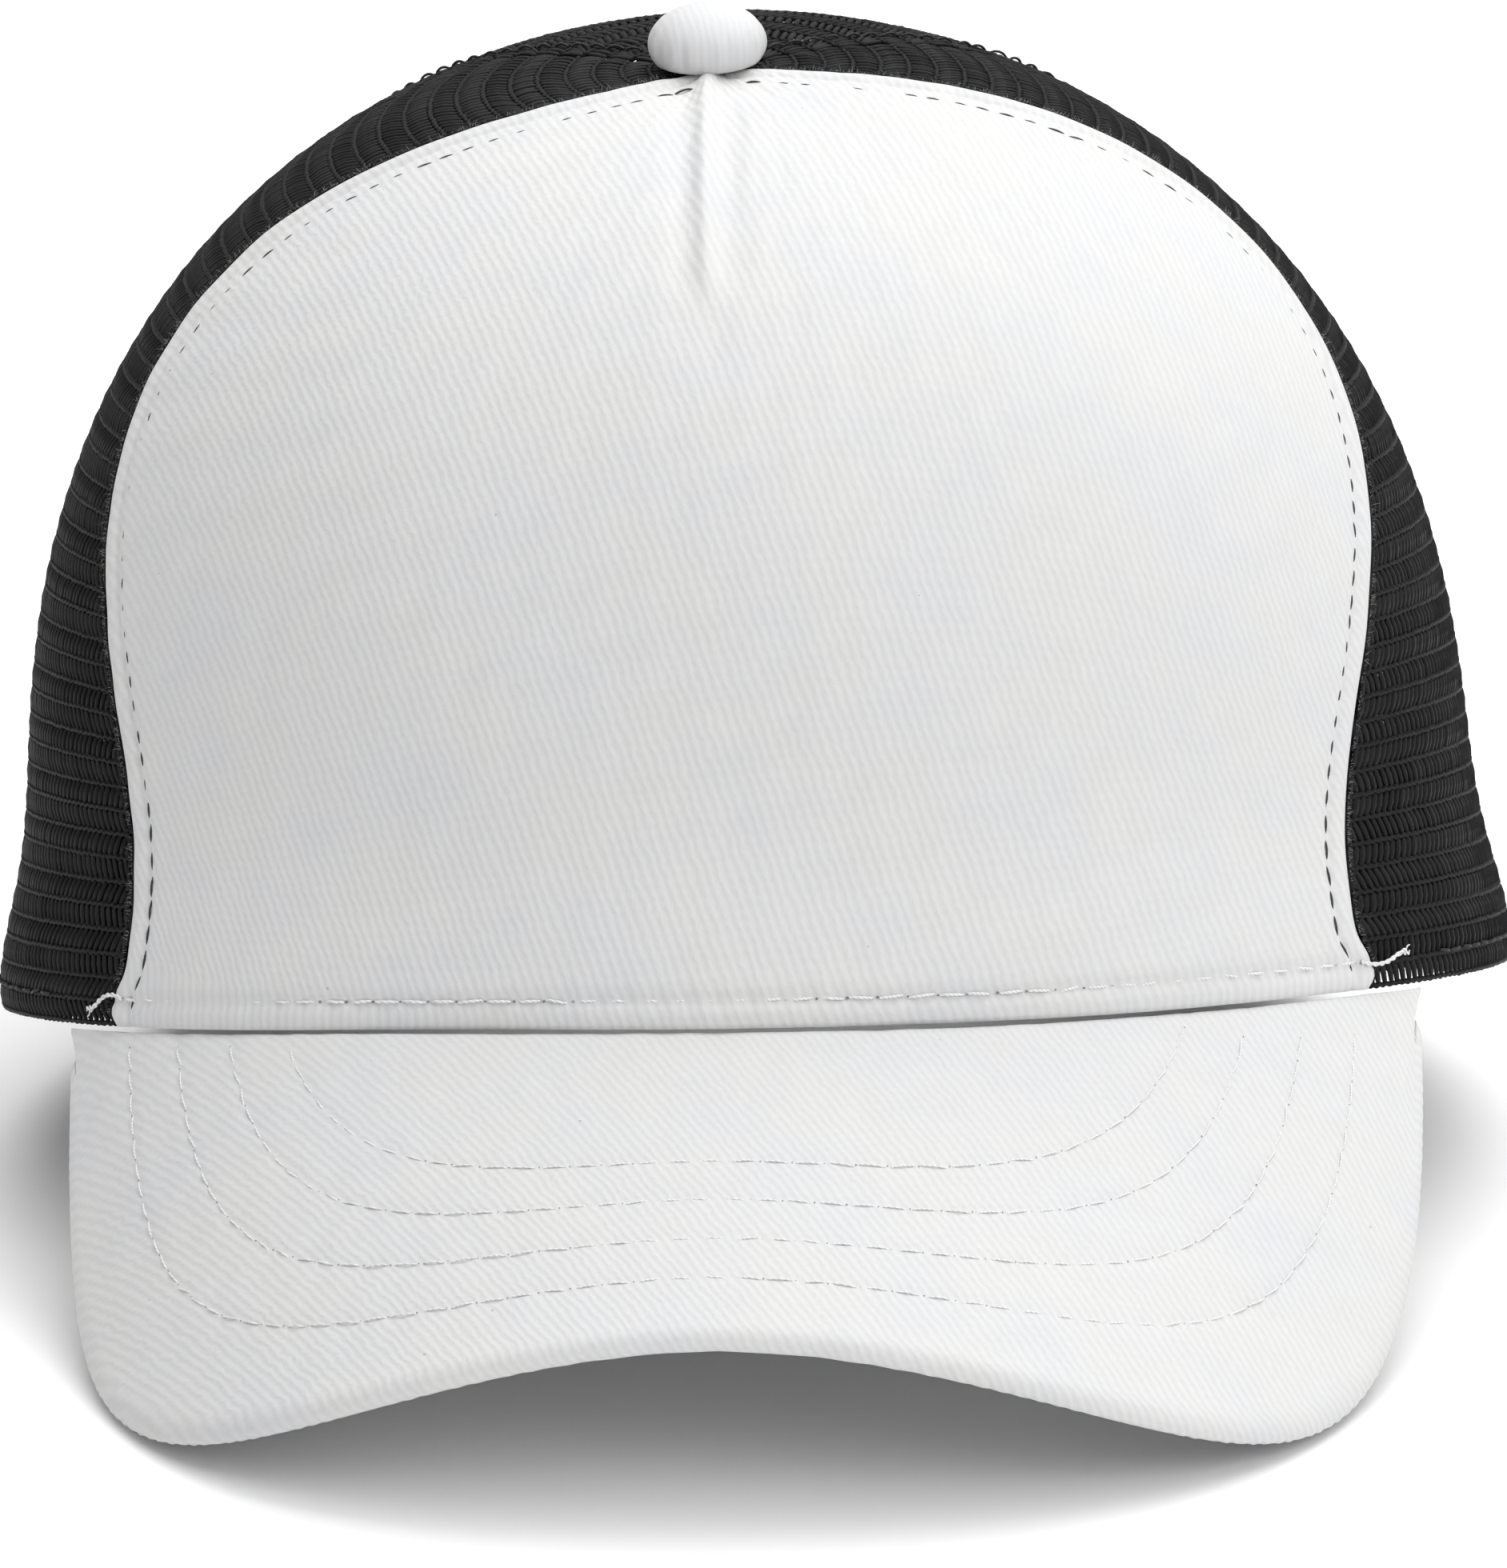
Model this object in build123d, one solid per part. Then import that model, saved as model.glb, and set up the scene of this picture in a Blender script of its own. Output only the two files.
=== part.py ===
"""Five-panel trucker mesh cap: twill front, mesh sides and back, curved visor, snap closure.

The cap is drawn level, with its hem in the plane z = 0, the visor towards -Y and +X on the
right of someone who faces the front.  At the end it is leaned back to the way it rests on a
table, on its two visor tips and the back of its hem, and the table becomes z = 0.
"""
from build123d import *
import os
from functools import lru_cache
from math import acos, atan2, cos, degrees, exp, hypot, pi, radians, sin, sqrt, tan

# ---- crown: a dome around a centre point, millimetres ----
DOME_HALF_WIDTH = 98.0
DOME_FRONT = 81.0
DOME_REAR = 88.5
DOME_RISE = 108.6
DOME_DROP = 114.0  # roundness below the centre, which only tucks the hem
CENTRE_HEIGHT = 16.6
PLAN_POWER = 2.0
POWER_FRONT = 2.7
POWER_SIDE = 2.3
POWER_REAR = 2.5
SPREAD_WITH_HEIGHT = 0.03
HEM_FLARE = 0.06
HEM_FLARE_HEIGHT = 17.0
REAR_LIFT = 0.258  # the dome climbs behind the button
BUTTON_Y = -10.4
BUTTON_SEAT = 1.3
BUTTON_SEAT_RADIUS = 21.0

# ---- how the soft cap sits ----
CROWN_ROLL = 1.66  # degrees, right side up
TOP_LEAN = -1.7
TOP_LEAN_HEIGHT = 119.0
VISOR_STIFF_EDGE = -81.0
VISOR_BLEND = 8.5

# ---- seams between the panels ----
FRONT_SEAM_AZIMUTH = radians(56.6)
FRONT_SEAM_BULGE = 0.386
FRONT_SEAM_SWAY = -0.145
FRONT_SEAM_TWIST = 0.23
SIDE_SEAM_AZIMUTH = radians(118.0)
SEAM_GAP = 0.6
POLE_CLIMB = 0.97867  # the panels stop here, round the button's prong
SIDE_SEAM_BULGE = 0.10

# ---- cloth layers, measured inward from the crown's outer surface ----
TWILL = (0.0, 0.9)
BUCKRAM = (1.1, 1.9)
MESH = (0.25, 1.25)
SEAM_TAPE = (2.2, 3.0)
SEAM_TAPE_WIDTH = 11.0
SEAM_TAPE_CLIMB = (0.02, 0.88)
REAR_TAPE_HEIGHT = 60.0  # the rear tape starts above the arch
BUCKRAM_CLIMB = (0.02, 0.86)
BUCKRAM_INSET = 3.0
BAND_PADDING = (3.2, 5.2)
PADDING_HALF_ANGLE = radians(50)
PADDING_MARGIN = 4.0
SWEATBAND = (5.6, 6.8)
SWEATBAND_BOTTOM = 1.0
SWEATBAND_HEIGHT = 31.0
BAND_END_ARC = 62.0
LABEL = (7.1, 7.4)
LABEL_ANGLES = (0.42, 0.14)  # short of the band's right end
LABEL_HEIGHTS = (6.0, 36.0)

# ---- rear arch and its binding ----
ARCH_HALF_WIDTH = 46.0
ARCH_SPRING = 12.0
ARCH_HEIGHT = 50.0
ARCH_LEG_SHARE = 0.09  # part of the arch's outline in each straight leg
BINDING_WIDTH = 6.5
BINDING_BEND = 1.4
BINDING_THICKNESS = 0.8
MESH_TRIM = 1.3  # the mesh stops this far outside the arch's edge

# ---- snap closure, along an arc that follows the back of the hem ----
CLOSURE_RADIUS = 111.1
CLOSURE_LEAN = 8.5
STRAP_THICKNESS = 1.2
STRAP_SPACING = 0.3
STRAP_BOTTOM = 4.0
STRAP_HEIGHT = 18.0
SNAP_PITCH = 9.0
SNAP_COUNT = 7
ENGAGED = 4
PEG_RADIUS = 2.0
PEG_HEIGHT = 2.1
PEG_ROUNDING = 0.8
PEG_ROOT = 0.6  # depth of the peg in its strap
STRAP_TIP = 6.0  # strap beyond its last snap
SNAP_MARGIN = 2.8
SNAP_HOLE_RADIUS = 2.5
CLOSURE_SETBACK = 3.2
FLEX_LINE = 27.0
FLEX_GAP = 1.0
ROOT_END = 58.0

# ---- visor ----
VISOR_SLOPE = 34.25
VISOR_ARCH = 0.0037
VISOR_ARCH_LENGTH = 57.0
VISOR_HALF_WIDTH = 89.5
VISOR_REACH = 98.45
VISOR_CORNER_Y = -36.25
VISOR_POWER = 2.68
VISOR_THICKNESS = 3.5
COVER_THICKNESS = 0.8
BOARD = (0.95, 2.7)
UNDER_COVER = (2.8, 3.5)
VISOR_SEAM_GAP = 0.5
VISOR_CORNER_ANGLE = 0.06
LIP_STANDS_OUT = 0.15

# ---- rest ----
REAR_HEM_HEIGHT = 0.9  # counts for the hem standing clear of the table between the arch legs
REST_SHIFT_Y = 21.2  # brings the middle of the cap's length over the origin

# ---- button ----
BUTTON_RADIUS = 7.9
BUTTON_HEIGHT = 8.4
BUTTON_WAIST = 2.5
BUTTON_TUCK = 1.5
BUTTON_CLEARANCE = 0.45
BUTTON_CLOTH = 0.6
BUTTON_METAL = 0.5
PRONG_RADIUS = 1.3
PRONG_TOP = 2.6
WASHER_RADIUS = 6.0
WASHER = (-4.2, -3.5)
GATHER_WIDTH = 2.8  # cloth gathered under the button's rim
SHOULDER_OUT = 0.76
SHOULDER_UP = 0.65


# ---------------------------------------------------------------- the dome and its settling
def direction(azimuth, latitude):
    """Unit vector: azimuth 0 is the front, positive towards +X."""
    flat = cos(latitude)
    return Vector(sin(azimuth) * flat, -cos(azimuth) * flat, sin(latitude))


def dome(ray):
    """The dome's outer surface along a ray from its centre."""
    depth = DOME_FRONT if ray.Y < 0 else DOME_REAR
    facing = -ray.Y / (hypot(ray.X, ray.Y) + 1e-9)
    end = POWER_FRONT if facing > 0 else POWER_REAR
    power = POWER_SIDE + (end - POWER_SIDE) * facing**2
    plan = (abs(ray.X / DOME_HALF_WIDTH) ** PLAN_POWER + abs(ray.Y / depth) ** PLAN_POWER)
    plan = plan ** (1 / PLAN_POWER)
    rise = DOME_RISE if ray.Z > 0 else DOME_DROP
    point = ray * (plan**power + abs(ray.Z / rise) ** power) ** (-1 / power)
    above_hem = point.Z + CENTRE_HEIGHT
    spread = 1 + SPREAD_WITH_HEIGHT * point.Z / DOME_RISE
    spread += HEM_FLARE * exp(-((above_hem / HEM_FLARE_HEIGHT) ** 2))
    x, y = point.X * spread, point.Y * spread
    up = max(point.Z / DOME_RISE, 0.0) ** 2
    seat = exp(-(x**2 + (y - BUTTON_Y) ** 2) / BUTTON_SEAT_RADIUS**2)
    z = above_hem + up * (REAR_LIFT * (y - BUTTON_Y) - BUTTON_SEAT * seat)
    return Vector(x, y, z)


@lru_cache(maxsize=None)
def hem_latitude(azimuth):
    """Latitude at which the dome meets the hem plane."""
    latitude = -0.15
    for _ in range(25):
        point = dome(direction(azimuth, latitude))
        latitude -= point.Z / hypot(point.X, point.Y) * 0.9
    return latitude


@lru_cache(maxsize=None)
def button_ray():
    """Ray from the dome's centre through the middle of the button."""
    tilt = 0.0
    for _ in range(30):
        tilt += (BUTTON_Y - dome(Vector(0, sin(tilt), cos(tilt))).Y) / DOME_RISE
    return Vector(0, sin(tilt), cos(tilt))


def between(start, end, share):
    """Turn evenly from one unit vector to another."""
    angle = acos(max(-1.0, min(1.0, start.dot(end))))
    return (start * sin((1 - share) * angle) + end * sin(share * angle)) * (1 / sin(angle))


def settle(point):
    """The soft crown sits rolled a little to one side, and the stiff visor does not."""
    roll = tan(radians(CROWN_ROLL))
    hold = 1 / (1 + exp(-(point.Y - VISOR_STIFF_EDGE) / VISOR_BLEND))
    lean = TOP_LEAN * max(point.Z / TOP_LEAN_HEIGHT, 0.0) ** 2
    x = point.X - roll * point.Z * hold + lean
    return Vector(x, point.Y, point.Z + roll * point.X * hold)


def crown_raw(azimuth, climb):
    """Outer surface: climb 0 is the hem and climb 1 the middle of the button."""
    start = direction(azimuth, hem_latitude(azimuth))
    return settle(dome(between(start, button_ray(), climb)))


def crown(azimuth, climb, depth=0.0):
    """Point on the crown, moved inward by depth along the surface's normal."""
    step = 0.004
    along = crown_raw(azimuth + step, climb) - crown_raw(azimuth - step, climb)
    upward = crown_raw(azimuth, climb + step) - crown_raw(azimuth, climb - step)
    normal = along.cross(upward).normalized()
    return crown_raw(azimuth, climb) - normal * depth


def climb_at(azimuth, height):
    """How far up the crown a level line at this height crosses."""
    low, high = 0.0, 0.6
    for _ in range(24):
        middle = (low + high) / 2
        start = direction(azimuth, hem_latitude(azimuth))
        if dome(between(start, button_ray(), middle)).Z < height:
            low = middle
        else:
            high = middle
    return low


def front_seam(side, climb):
    """Azimuth of the seam between the front panel and a mesh side."""
    bulge = FRONT_SEAM_BULGE * sin(pi * climb) + FRONT_SEAM_SWAY * sin(2 * pi * climb)
    return side * (FRONT_SEAM_AZIMUTH + bulge) + FRONT_SEAM_TWIST * climb**2


def side_seam(side, climb):
    """Azimuth of the seam between a mesh side and the mesh back."""
    return side * (SIDE_SEAM_AZIMUTH + SIDE_SEAM_BULGE * sin(pi * climb))


def rear_seam(side, climb):
    return side * pi


# ---------------------------------------------------------------- solids from point grids
def steps(count, low=0.0, high=1.0):
    return [low + (high - low) * i / (count - 1) for i in range(count)]


def slab(outer, inner):
    """Closed solid between two matching grids of points."""
    grids = [outer, inner]
    faces = [Face.make_surface_from_array_of_points(grid, tol=0.02) for grid in grids]
    rims = []
    for grid in grids:
        sides = [grid[0], [row[-1] for row in grid], grid[-1], [row[0] for row in grid]]
        rims.append(sides)
    edges = [ordered_edges(face, rim) for face, rim in zip(faces, rims)]
    walls = [Face.make_surface_from_curves(a, b) for a, b in zip(*edges)]
    solid = Solid(Shell(faces + walls))
    return solid if solid.volume > 0 else Solid(-Shell(faces + walls))


def ordered_edges(face, sides):
    """The face's own boundary edges, in the order of the grid's four sides."""
    left = list(face.edges())
    found = []
    for side in sides:
        middle = side[len(side) // 2]
        edge = min(left, key=lambda item: item.distance_to(middle))
        left.remove(edge)
        found.append(edge)
    return found


def panel(left_seam, right_seam, layer, low=0.0, high=1.0, columns=13, rows=13, inset=0.0):
    """Cloth between two seams: an outer and an inner sheet with walls round the rim."""
    grids = []
    for depth in layer:
        grid = []
        for climb in steps(rows, low, high):
            reach = hem_radius(left_seam(climb)) * (1 - climb)
            gap = (SEAM_GAP / 2 + inset) / reach
            start, end = left_seam(climb) + gap, right_seam(climb) - gap
            grid.append([crown(azimuth, climb, depth) for azimuth in steps(columns, start, end)])
        grids.append(grid)
    return slab(*grids)


@lru_cache(maxsize=None)
def hem_radius(azimuth):
    point = dome(direction(azimuth, hem_latitude(azimuth)))
    return hypot(point.X, point.Y)


# ---------------------------------------------------------------- crown pieces
def front_panel():
    return panel(lambda c: front_seam(-1, c), lambda c: front_seam(1, c), TWILL, 0.0,
                 POLE_CLIMB, 17, 15)


def front_buckram():
    return panel(lambda c: front_seam(-1, c), lambda c: front_seam(1, c), BUCKRAM,
                 *BUCKRAM_CLIMB, 17, 13, inset=BUCKRAM_INSET)


def mesh_side(side):
    if side < 0:
        return panel(lambda c: side_seam(-1, c), lambda c: front_seam(-1, c), MESH, 0.0,
                     POLE_CLIMB, 11, 15)
    return panel(lambda c: front_seam(1, c), lambda c: side_seam(1, c), MESH, 0.0,
                 POLE_CLIMB, 11, 15)


def rear_quarter(side):
    if side < 0:
        return panel(lambda c: rear_seam(-1, c), lambda c: side_seam(-1, c), MESH, 0.0,
                     POLE_CLIMB, 11, 15)
    return panel(lambda c: side_seam(1, c), lambda c: rear_seam(1, c), MESH, 0.0,
                 POLE_CLIMB, 11, 15)


def arch_prism(grow):
    """The arched opening at the back, as a solid that runs through the crown's rear wall."""
    half, top = ARCH_HALF_WIDTH + grow, ARCH_HEIGHT + grow
    behind, below = 1.5 * DOME_REAR, 20.0
    with BuildPart() as prism:
        with BuildSketch(Plane.XZ.offset(-behind)):
            with Locations((0, ARCH_SPRING)):
                Ellipse(half, top - ARCH_SPRING)
            with Locations((0, (ARCH_SPRING - below) / 2)):
                Rectangle(2 * half, ARCH_SPRING + below)
        extrude(amount=DOME_REAR)
    return Rot(0, -CROWN_ROLL, 0) * prism.part.solid()


def mesh_rear(side):
    return (rear_quarter(side) - arch_prism(MESH_TRIM)).solid()


def rear_raw(x, z):
    """Point of the crown's rear wall with this x and height, before it settles."""
    azimuth, latitude = pi - x / DOME_REAR, (z - CENTRE_HEIGHT) / DOME_REAR
    for _ in range(25):
        point = dome(direction(azimuth, latitude))
        azimuth -= (x - point.X) / DOME_REAR * 0.8
        latitude += (z - point.Z) / DOME_REAR * 0.8
    return settle(point)


def rear_point(x, z, depth):
    step = 0.5
    across = rear_raw(x + step, z) - rear_raw(x - step, z)
    upward = rear_raw(x, z + step) - rear_raw(x, z - step)
    return rear_raw(x, z) + across.cross(upward).normalized() * depth


def arch_line(share, grow):
    """Point on the arch, from the foot of one leg over the top to the foot of the other."""
    half, top = ARCH_HALF_WIDTH + grow, ARCH_HEIGHT + grow - ARCH_SPRING
    leg = ARCH_LEG_SHARE
    if share < leg:
        return -half, ARCH_SPRING * share / leg
    if share > 1 - leg:
        return half, ARCH_SPRING * (1 - share) / leg
    angle = pi * (share - leg) / (1 - 2 * leg)
    return -half * cos(angle), ARCH_SPRING + top * sin(angle)


def fold_section(radius):
    """Section of folded tape: pairs of distance outside the arch's edge and depth."""
    middle = (MESH[0] + MESH[1]) / 2
    straight = steps(5, BINDING_WIDTH, BINDING_BEND)
    bend = steps(9, pi / 2, 3 * pi / 2)[1:-1]
    section = [(grow, middle - radius) for grow in straight]
    section += [(BINDING_BEND + radius * cos(a), middle - radius * sin(a)) for a in bend]
    return section + [(grow, middle + radius) for grow in reversed(straight)]


def rear_arch_binding():
    """Tape folded over the arch's edge: outside, round the edge and inside."""
    grids = []
    for radius in (BINDING_BEND, BINDING_BEND - BINDING_THICKNESS):
        grid = []
        for share in steps(45):
            row = []
            for grow, depth in fold_section(radius):
                x, z = arch_line(share, grow)
                row.append(rear_point(x, z, depth))
            grid.append(row)
        grids.append(grid)
    return slab(*grids)


def seam_tape(seam, side, low, high):
    """Tape sewn over a seam inside the crown."""
    grids = []
    for depth in SEAM_TAPE:
        grid = []
        for climb in steps(15, low, high):
            middle = seam(side, climb)
            spread = SEAM_TAPE_WIDTH / 2 / (hem_radius(middle) * (1 - climb) + 4.0)
            edges = (middle - spread, middle, middle + spread)
            grid.append([crown(azimuth, climb, depth) for azimuth in edges])
        grids.append(grid)
    return slab(*grids)


def band(layer, start, end, low, high, columns):
    """Strip inside the hem, between two level lines."""
    grids = []
    for depth in layer:
        grid = []
        for share in steps(5):
            row = []
            for azimuth in steps(columns, start, end):
                base, top = climb_at(azimuth, low), climb_at(azimuth, high)
                row.append(crown(azimuth, base + (top - base) * share, depth))
            grid.append(row)
        grids.append(grid)
    return slab(*grids)


def sweatband():
    reach = pi - BAND_END_ARC / hem_radius(pi)
    return band(SWEATBAND, -reach, reach, SWEATBAND_BOTTOM, SWEATBAND_HEIGHT, 41)


def band_padding():
    low, high = PADDING_MARGIN, SWEATBAND_HEIGHT - PADDING_MARGIN
    return band(BAND_PADDING, -PADDING_HALF_ANGLE, PADDING_HALF_ANGLE, low, high, 17)


def care_label():
    reach = pi - BAND_END_ARC / hem_radius(pi)
    start, end = (reach - short for short in LABEL_ANGLES)
    return band(LABEL, start, end, *LABEL_HEIGHTS, 7)


# ---------------------------------------------------------------- button
def button_plane():
    """Seat of the button: its origin on the crown and its axis square to the cloth."""
    seat = crown_raw(0.0, 0.999)
    step = 0.04
    across = crown_raw(pi / 2, 1 - step) - crown_raw(-pi / 2, 1 - step)
    along = crown_raw(pi, 1 - step) - crown_raw(0.0, 1 - step)
    return Plane(origin=seat, x_dir=across, z_dir=across.cross(along))


def dome_profile(radius, height, base):
    """Half of a dome whose foot is tucked in, to be turned about the button's axis."""
    waist, foot = (radius, base + BUTTON_WAIST), (radius - BUTTON_TUCK, base)
    shoulder = (radius * SHOULDER_OUT, waist[1] + (height - waist[1]) * SHOULDER_UP)
    with BuildSketch(Plane.XZ) as sketch:
        with BuildLine():
            Spline((0, height), shoulder, waist, tangents=[(1, 0), (0, -1)])
            Spline(waist, foot, tangents=[(0, -1), (-1, -0.5)])
            Line(foot, (0, base))
            Line((0, base), (0, height))
        make_face()
    return sketch.sketch


def turned(profile):
    return revolve(profile, Axis.Z).solid()


def disc(radius, low, high):
    return Pos(0, 0, low) * Cylinder(radius, high - low, align=(Align.CENTER, Align.CENTER, Align.MIN))


def button_cover():
    """Cloth drawn over the metal shell and gathered under its rim."""
    base = BUTTON_CLEARANCE
    outside = turned(dome_profile(BUTTON_RADIUS, BUTTON_HEIGHT, base))
    room = turned(dome_profile(BUTTON_RADIUS - BUTTON_CLOTH, BUTTON_HEIGHT - BUTTON_CLOTH, base + 0.5))
    gathered = outside - room - disc(BUTTON_RADIUS - GATHER_WIDTH, 0.0, base + 0.6)
    return button_plane().location * gathered.solid()


def button_shell():
    """Pressed metal dome with its crimped back plate."""
    radius = BUTTON_RADIUS - BUTTON_CLOTH - 0.05
    height = BUTTON_HEIGHT - BUTTON_CLOTH - 0.05
    base = BUTTON_CLEARANCE + 0.55
    outside = turned(dome_profile(radius, height, base))
    room = turned(dome_profile(radius - BUTTON_METAL, height - BUTTON_METAL, base + BUTTON_METAL))
    socket = disc(PRONG_RADIUS + 0.05, base - 1, base + 1)
    return button_plane().location * (outside - room - socket).solid()


def button_prong():
    """Prong through the crown, with the washer that it is bent over inside."""
    low, high = WASHER
    washer = disc(WASHER_RADIUS, low, high)
    stem = disc(PRONG_RADIUS, low, PRONG_TOP)
    return button_plane().location * (washer + stem).solid()


# ---------------------------------------------------------------- snap closure
def closure_place():
    """The closure's own frame: arc centre at its origin, the back of the cap towards +Y."""
    back = dome(direction(pi, hem_latitude(pi)))
    lean = Pos(0, back.Y, 0) * Rot(CLOSURE_LEAN, 0, 0) * Pos(0, -CLOSURE_RADIUS - CLOSURE_SETBACK, 0)
    return Rot(0, -CROWN_ROLL, 0) * lean


def strap_band(start, end, outer, low, high):
    """Strip along the closure's arc, from one distance from its middle to another."""
    inner = outer - STRAP_THICKNESS
    first, last = start / CLOSURE_RADIUS, end / CLOSURE_RADIUS
    outside = [(outer * sin(a), outer * cos(a)) for a in (first, (first + last) / 2, last)]
    inside = [(inner * sin(a), inner * cos(a)) for a in (last, (first + last) / 2, first)]
    with BuildPart() as strip:
        with BuildSketch(Plane.XY.offset(low)):
            with BuildLine():
                ThreePointArc(*outside)
                Line(outside[-1], inside[0])
                ThreePointArc(*inside)
                Line(inside[-1], outside[0])
            make_face()
        extrude(amount=high - low)
    return strip.part.solid()


def rounded_end(tip, towards):
    """Prism that rounds a strap's free end."""
    middle = STRAP_BOTTOM + STRAP_HEIGHT / 2
    x = CLOSURE_RADIUS * sin(tip / CLOSURE_RADIUS)
    far = x + towards * CLOSURE_RADIUS
    with BuildPart() as prism:
        with BuildSketch(Plane.XZ.offset(-CLOSURE_RADIUS - 20)):
            with Locations(((x + far) / 2, middle)):
                RectangleRounded(abs(far - x), STRAP_HEIGHT + 0.02, STRAP_HEIGHT / 2 - 0.1)
        extrude(amount=60)
    return prism.part.solid()


def on_arc(distance, radius):
    """Place on the strap with its local Z pointing outward along the arc's radius."""
    turn = -degrees(distance / CLOSURE_RADIUS)
    height = STRAP_BOTTOM + STRAP_HEIGHT / 2
    return Rot(0, 0, turn) * Pos(0, radius, height) * Rot(-90, 0, 0)


def snap_places(side):
    """Distances of a strap's snaps from the closure's middle; side is where its tip points."""
    first = side * SNAP_PITCH * (ENGAGED - 1) / 2
    return [first - side * SNAP_PITCH * i for i in range(SNAP_COUNT)]


def strap_span(side, part):
    """Start and end of a strap's free tab or of its sewn root."""
    tip = side * (SNAP_PITCH * (ENGAGED - 1) / 2 + STRAP_TIP)
    flex = -side * FLEX_LINE
    if part == "tab":
        return sorted((tip, flex + side * FLEX_GAP / 2))
    return sorted((flex - side * FLEX_GAP / 2, -side * ROOT_END))


def strap(side, part, outer):
    start, end = strap_span(side, part)
    strip = strap_band(start, end, outer, STRAP_BOTTOM, STRAP_BOTTOM + STRAP_HEIGHT)
    if part == "tab":
        tip = end if side > 0 else start
        strip = strip & rounded_end(tip, -side)
    first, last = start + SNAP_MARGIN, end - SNAP_MARGIN
    places = [place for place in snap_places(side) if first < place < last]
    return strip, places


def strap_holes(part):
    """Outer strap, with a row of holes; its tip points towards -X."""
    strip, places = strap(-1, part, CLOSURE_RADIUS)
    for place in places:
        strip -= on_arc(place, CLOSURE_RADIUS) * Cylinder(SNAP_HOLE_RADIUS, 10)
    return closure_place() * strip.solid()


def strap_pegs(part):
    """Inner strap, with a row of round-headed pegs; its tip points towards +X."""
    outer = CLOSURE_RADIUS - STRAP_THICKNESS - STRAP_SPACING
    strip, places = strap(1, part, outer)
    for place in places:
        peg = disc(PEG_RADIUS, 0.0, PEG_ROOT + PEG_HEIGHT)
        peg = fillet(peg.edges().filter_by(GeomType.CIRCLE).sort_by(Axis.Z)[-1:], PEG_ROUNDING)
        strip += on_arc(place, outer - PEG_ROOT) * peg
    return closure_place() * strip.solid()


# ---------------------------------------------------------------- visor
def hem_y(x):
    """Front half of the hem, where the visor is sewn on."""
    front = dome(direction(0.0, hem_latitude(0.0))).Y
    side = dome(direction(pi / 2, hem_latitude(pi / 2))).X
    return front * sqrt(max(1 - (x / side) ** 2, 0.0))


def visor_raw(x, y):
    """The visor's top: it falls from the hem and arches across."""
    reach = hem_y(x) - y
    fall = tan(radians(VISOR_SLOPE)) * reach
    arch = VISOR_ARCH * x**2 * reach / VISOR_ARCH_LENGTH
    return settle(Vector(x, y, -fall - arch))


def visor_point(x, y, depth):
    """Point below the visor's top by depth along its normal."""
    step = 0.5
    across = visor_raw(x + step, y) - visor_raw(x - step, y)
    along = visor_raw(x, y + step) - visor_raw(x, y - step)
    return visor_raw(x, y) - across.cross(along).normalized() * depth


def visor_edge(share, inset):
    """Free edge in plan, as half of a squared oval; share runs from corner to corner."""
    angle = share * (pi / 2 - VISOR_CORNER_ANGLE)
    half, reach = VISOR_HALF_WIDTH - inset, VISOR_REACH - inset
    x = half * abs(sin(angle)) ** (2 / VISOR_POWER)
    return (x if share > 0 else -x), VISOR_CORNER_Y - reach * cos(angle) ** (2 / VISOR_POWER)


def visor_sheet(layer, inset, gap):
    """Crescent sheet between two depths below the visor's top."""
    grids = []
    for depth in layer:
        grid = []
        for out in steps(9):
            row = []
            for share in steps(33, -1.0, 1.0):
                seam_x = share * (VISOR_HALF_WIDTH - 0.4 - inset)
                seam_y = hem_y(seam_x) - gap
                edge_x, edge_y = visor_edge(share, inset)
                x, y = seam_x + (edge_x - seam_x) * out, seam_y + (edge_y - seam_y) * out
                row.append(visor_point(x, y, depth))
            grid.append(row)
        grids.append(grid)
    return slab(*grids)


def visor_lip():
    """Hem of the cover, turned down over the board's edge."""
    grids = []
    for depth in (COVER_THICKNESS + 0.05, VISOR_THICKNESS):
        grid = []
        for inset in (-LIP_STANDS_OUT, COVER_THICKNESS / 2, COVER_THICKNESS):
            edge = [visor_edge(share, inset) for share in steps(49, -1.0, 1.0)]
            grid.append([visor_point(x, y, depth) for x, y in edge])
        grids.append(grid)
    return slab(*grids)


def visor_board():
    return visor_sheet(BOARD, COVER_THICKNESS + 0.25, VISOR_SEAM_GAP + 1.0)


def visor_under_cover():
    return visor_sheet(UNDER_COVER, COVER_THICKNESS + 0.25, VISOR_SEAM_GAP)


def visor_top_cover():
    """Cloth on top of the visor, with its turned-down hem as a second solid."""
    return Compound([visor_sheet((0.0, COVER_THICKNESS), 0.0, VISOR_SEAM_GAP), visor_lip()])


# ---------------------------------------------------------------- the way the cap rests
def rest_place():
    """Lean back until the visor tips and the back of the hem share the table."""
    back = dome(direction(pi, hem_latitude(pi))).Y
    lean = 0.0
    for share in steps(81, -1.0, 1.0):
        point = visor_point(*visor_edge(share, -LIP_STANDS_OUT), VISOR_THICKNESS)
        lean = max(lean, atan2(REAR_HEM_HEIGHT - point.Z, back - point.Y))
    lift = back * sin(lean) - REAR_HEM_HEIGHT * cos(lean)
    return Pos(0, REST_SHIFT_Y, lift) * Rot(-degrees(lean), 0, 0)


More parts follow.
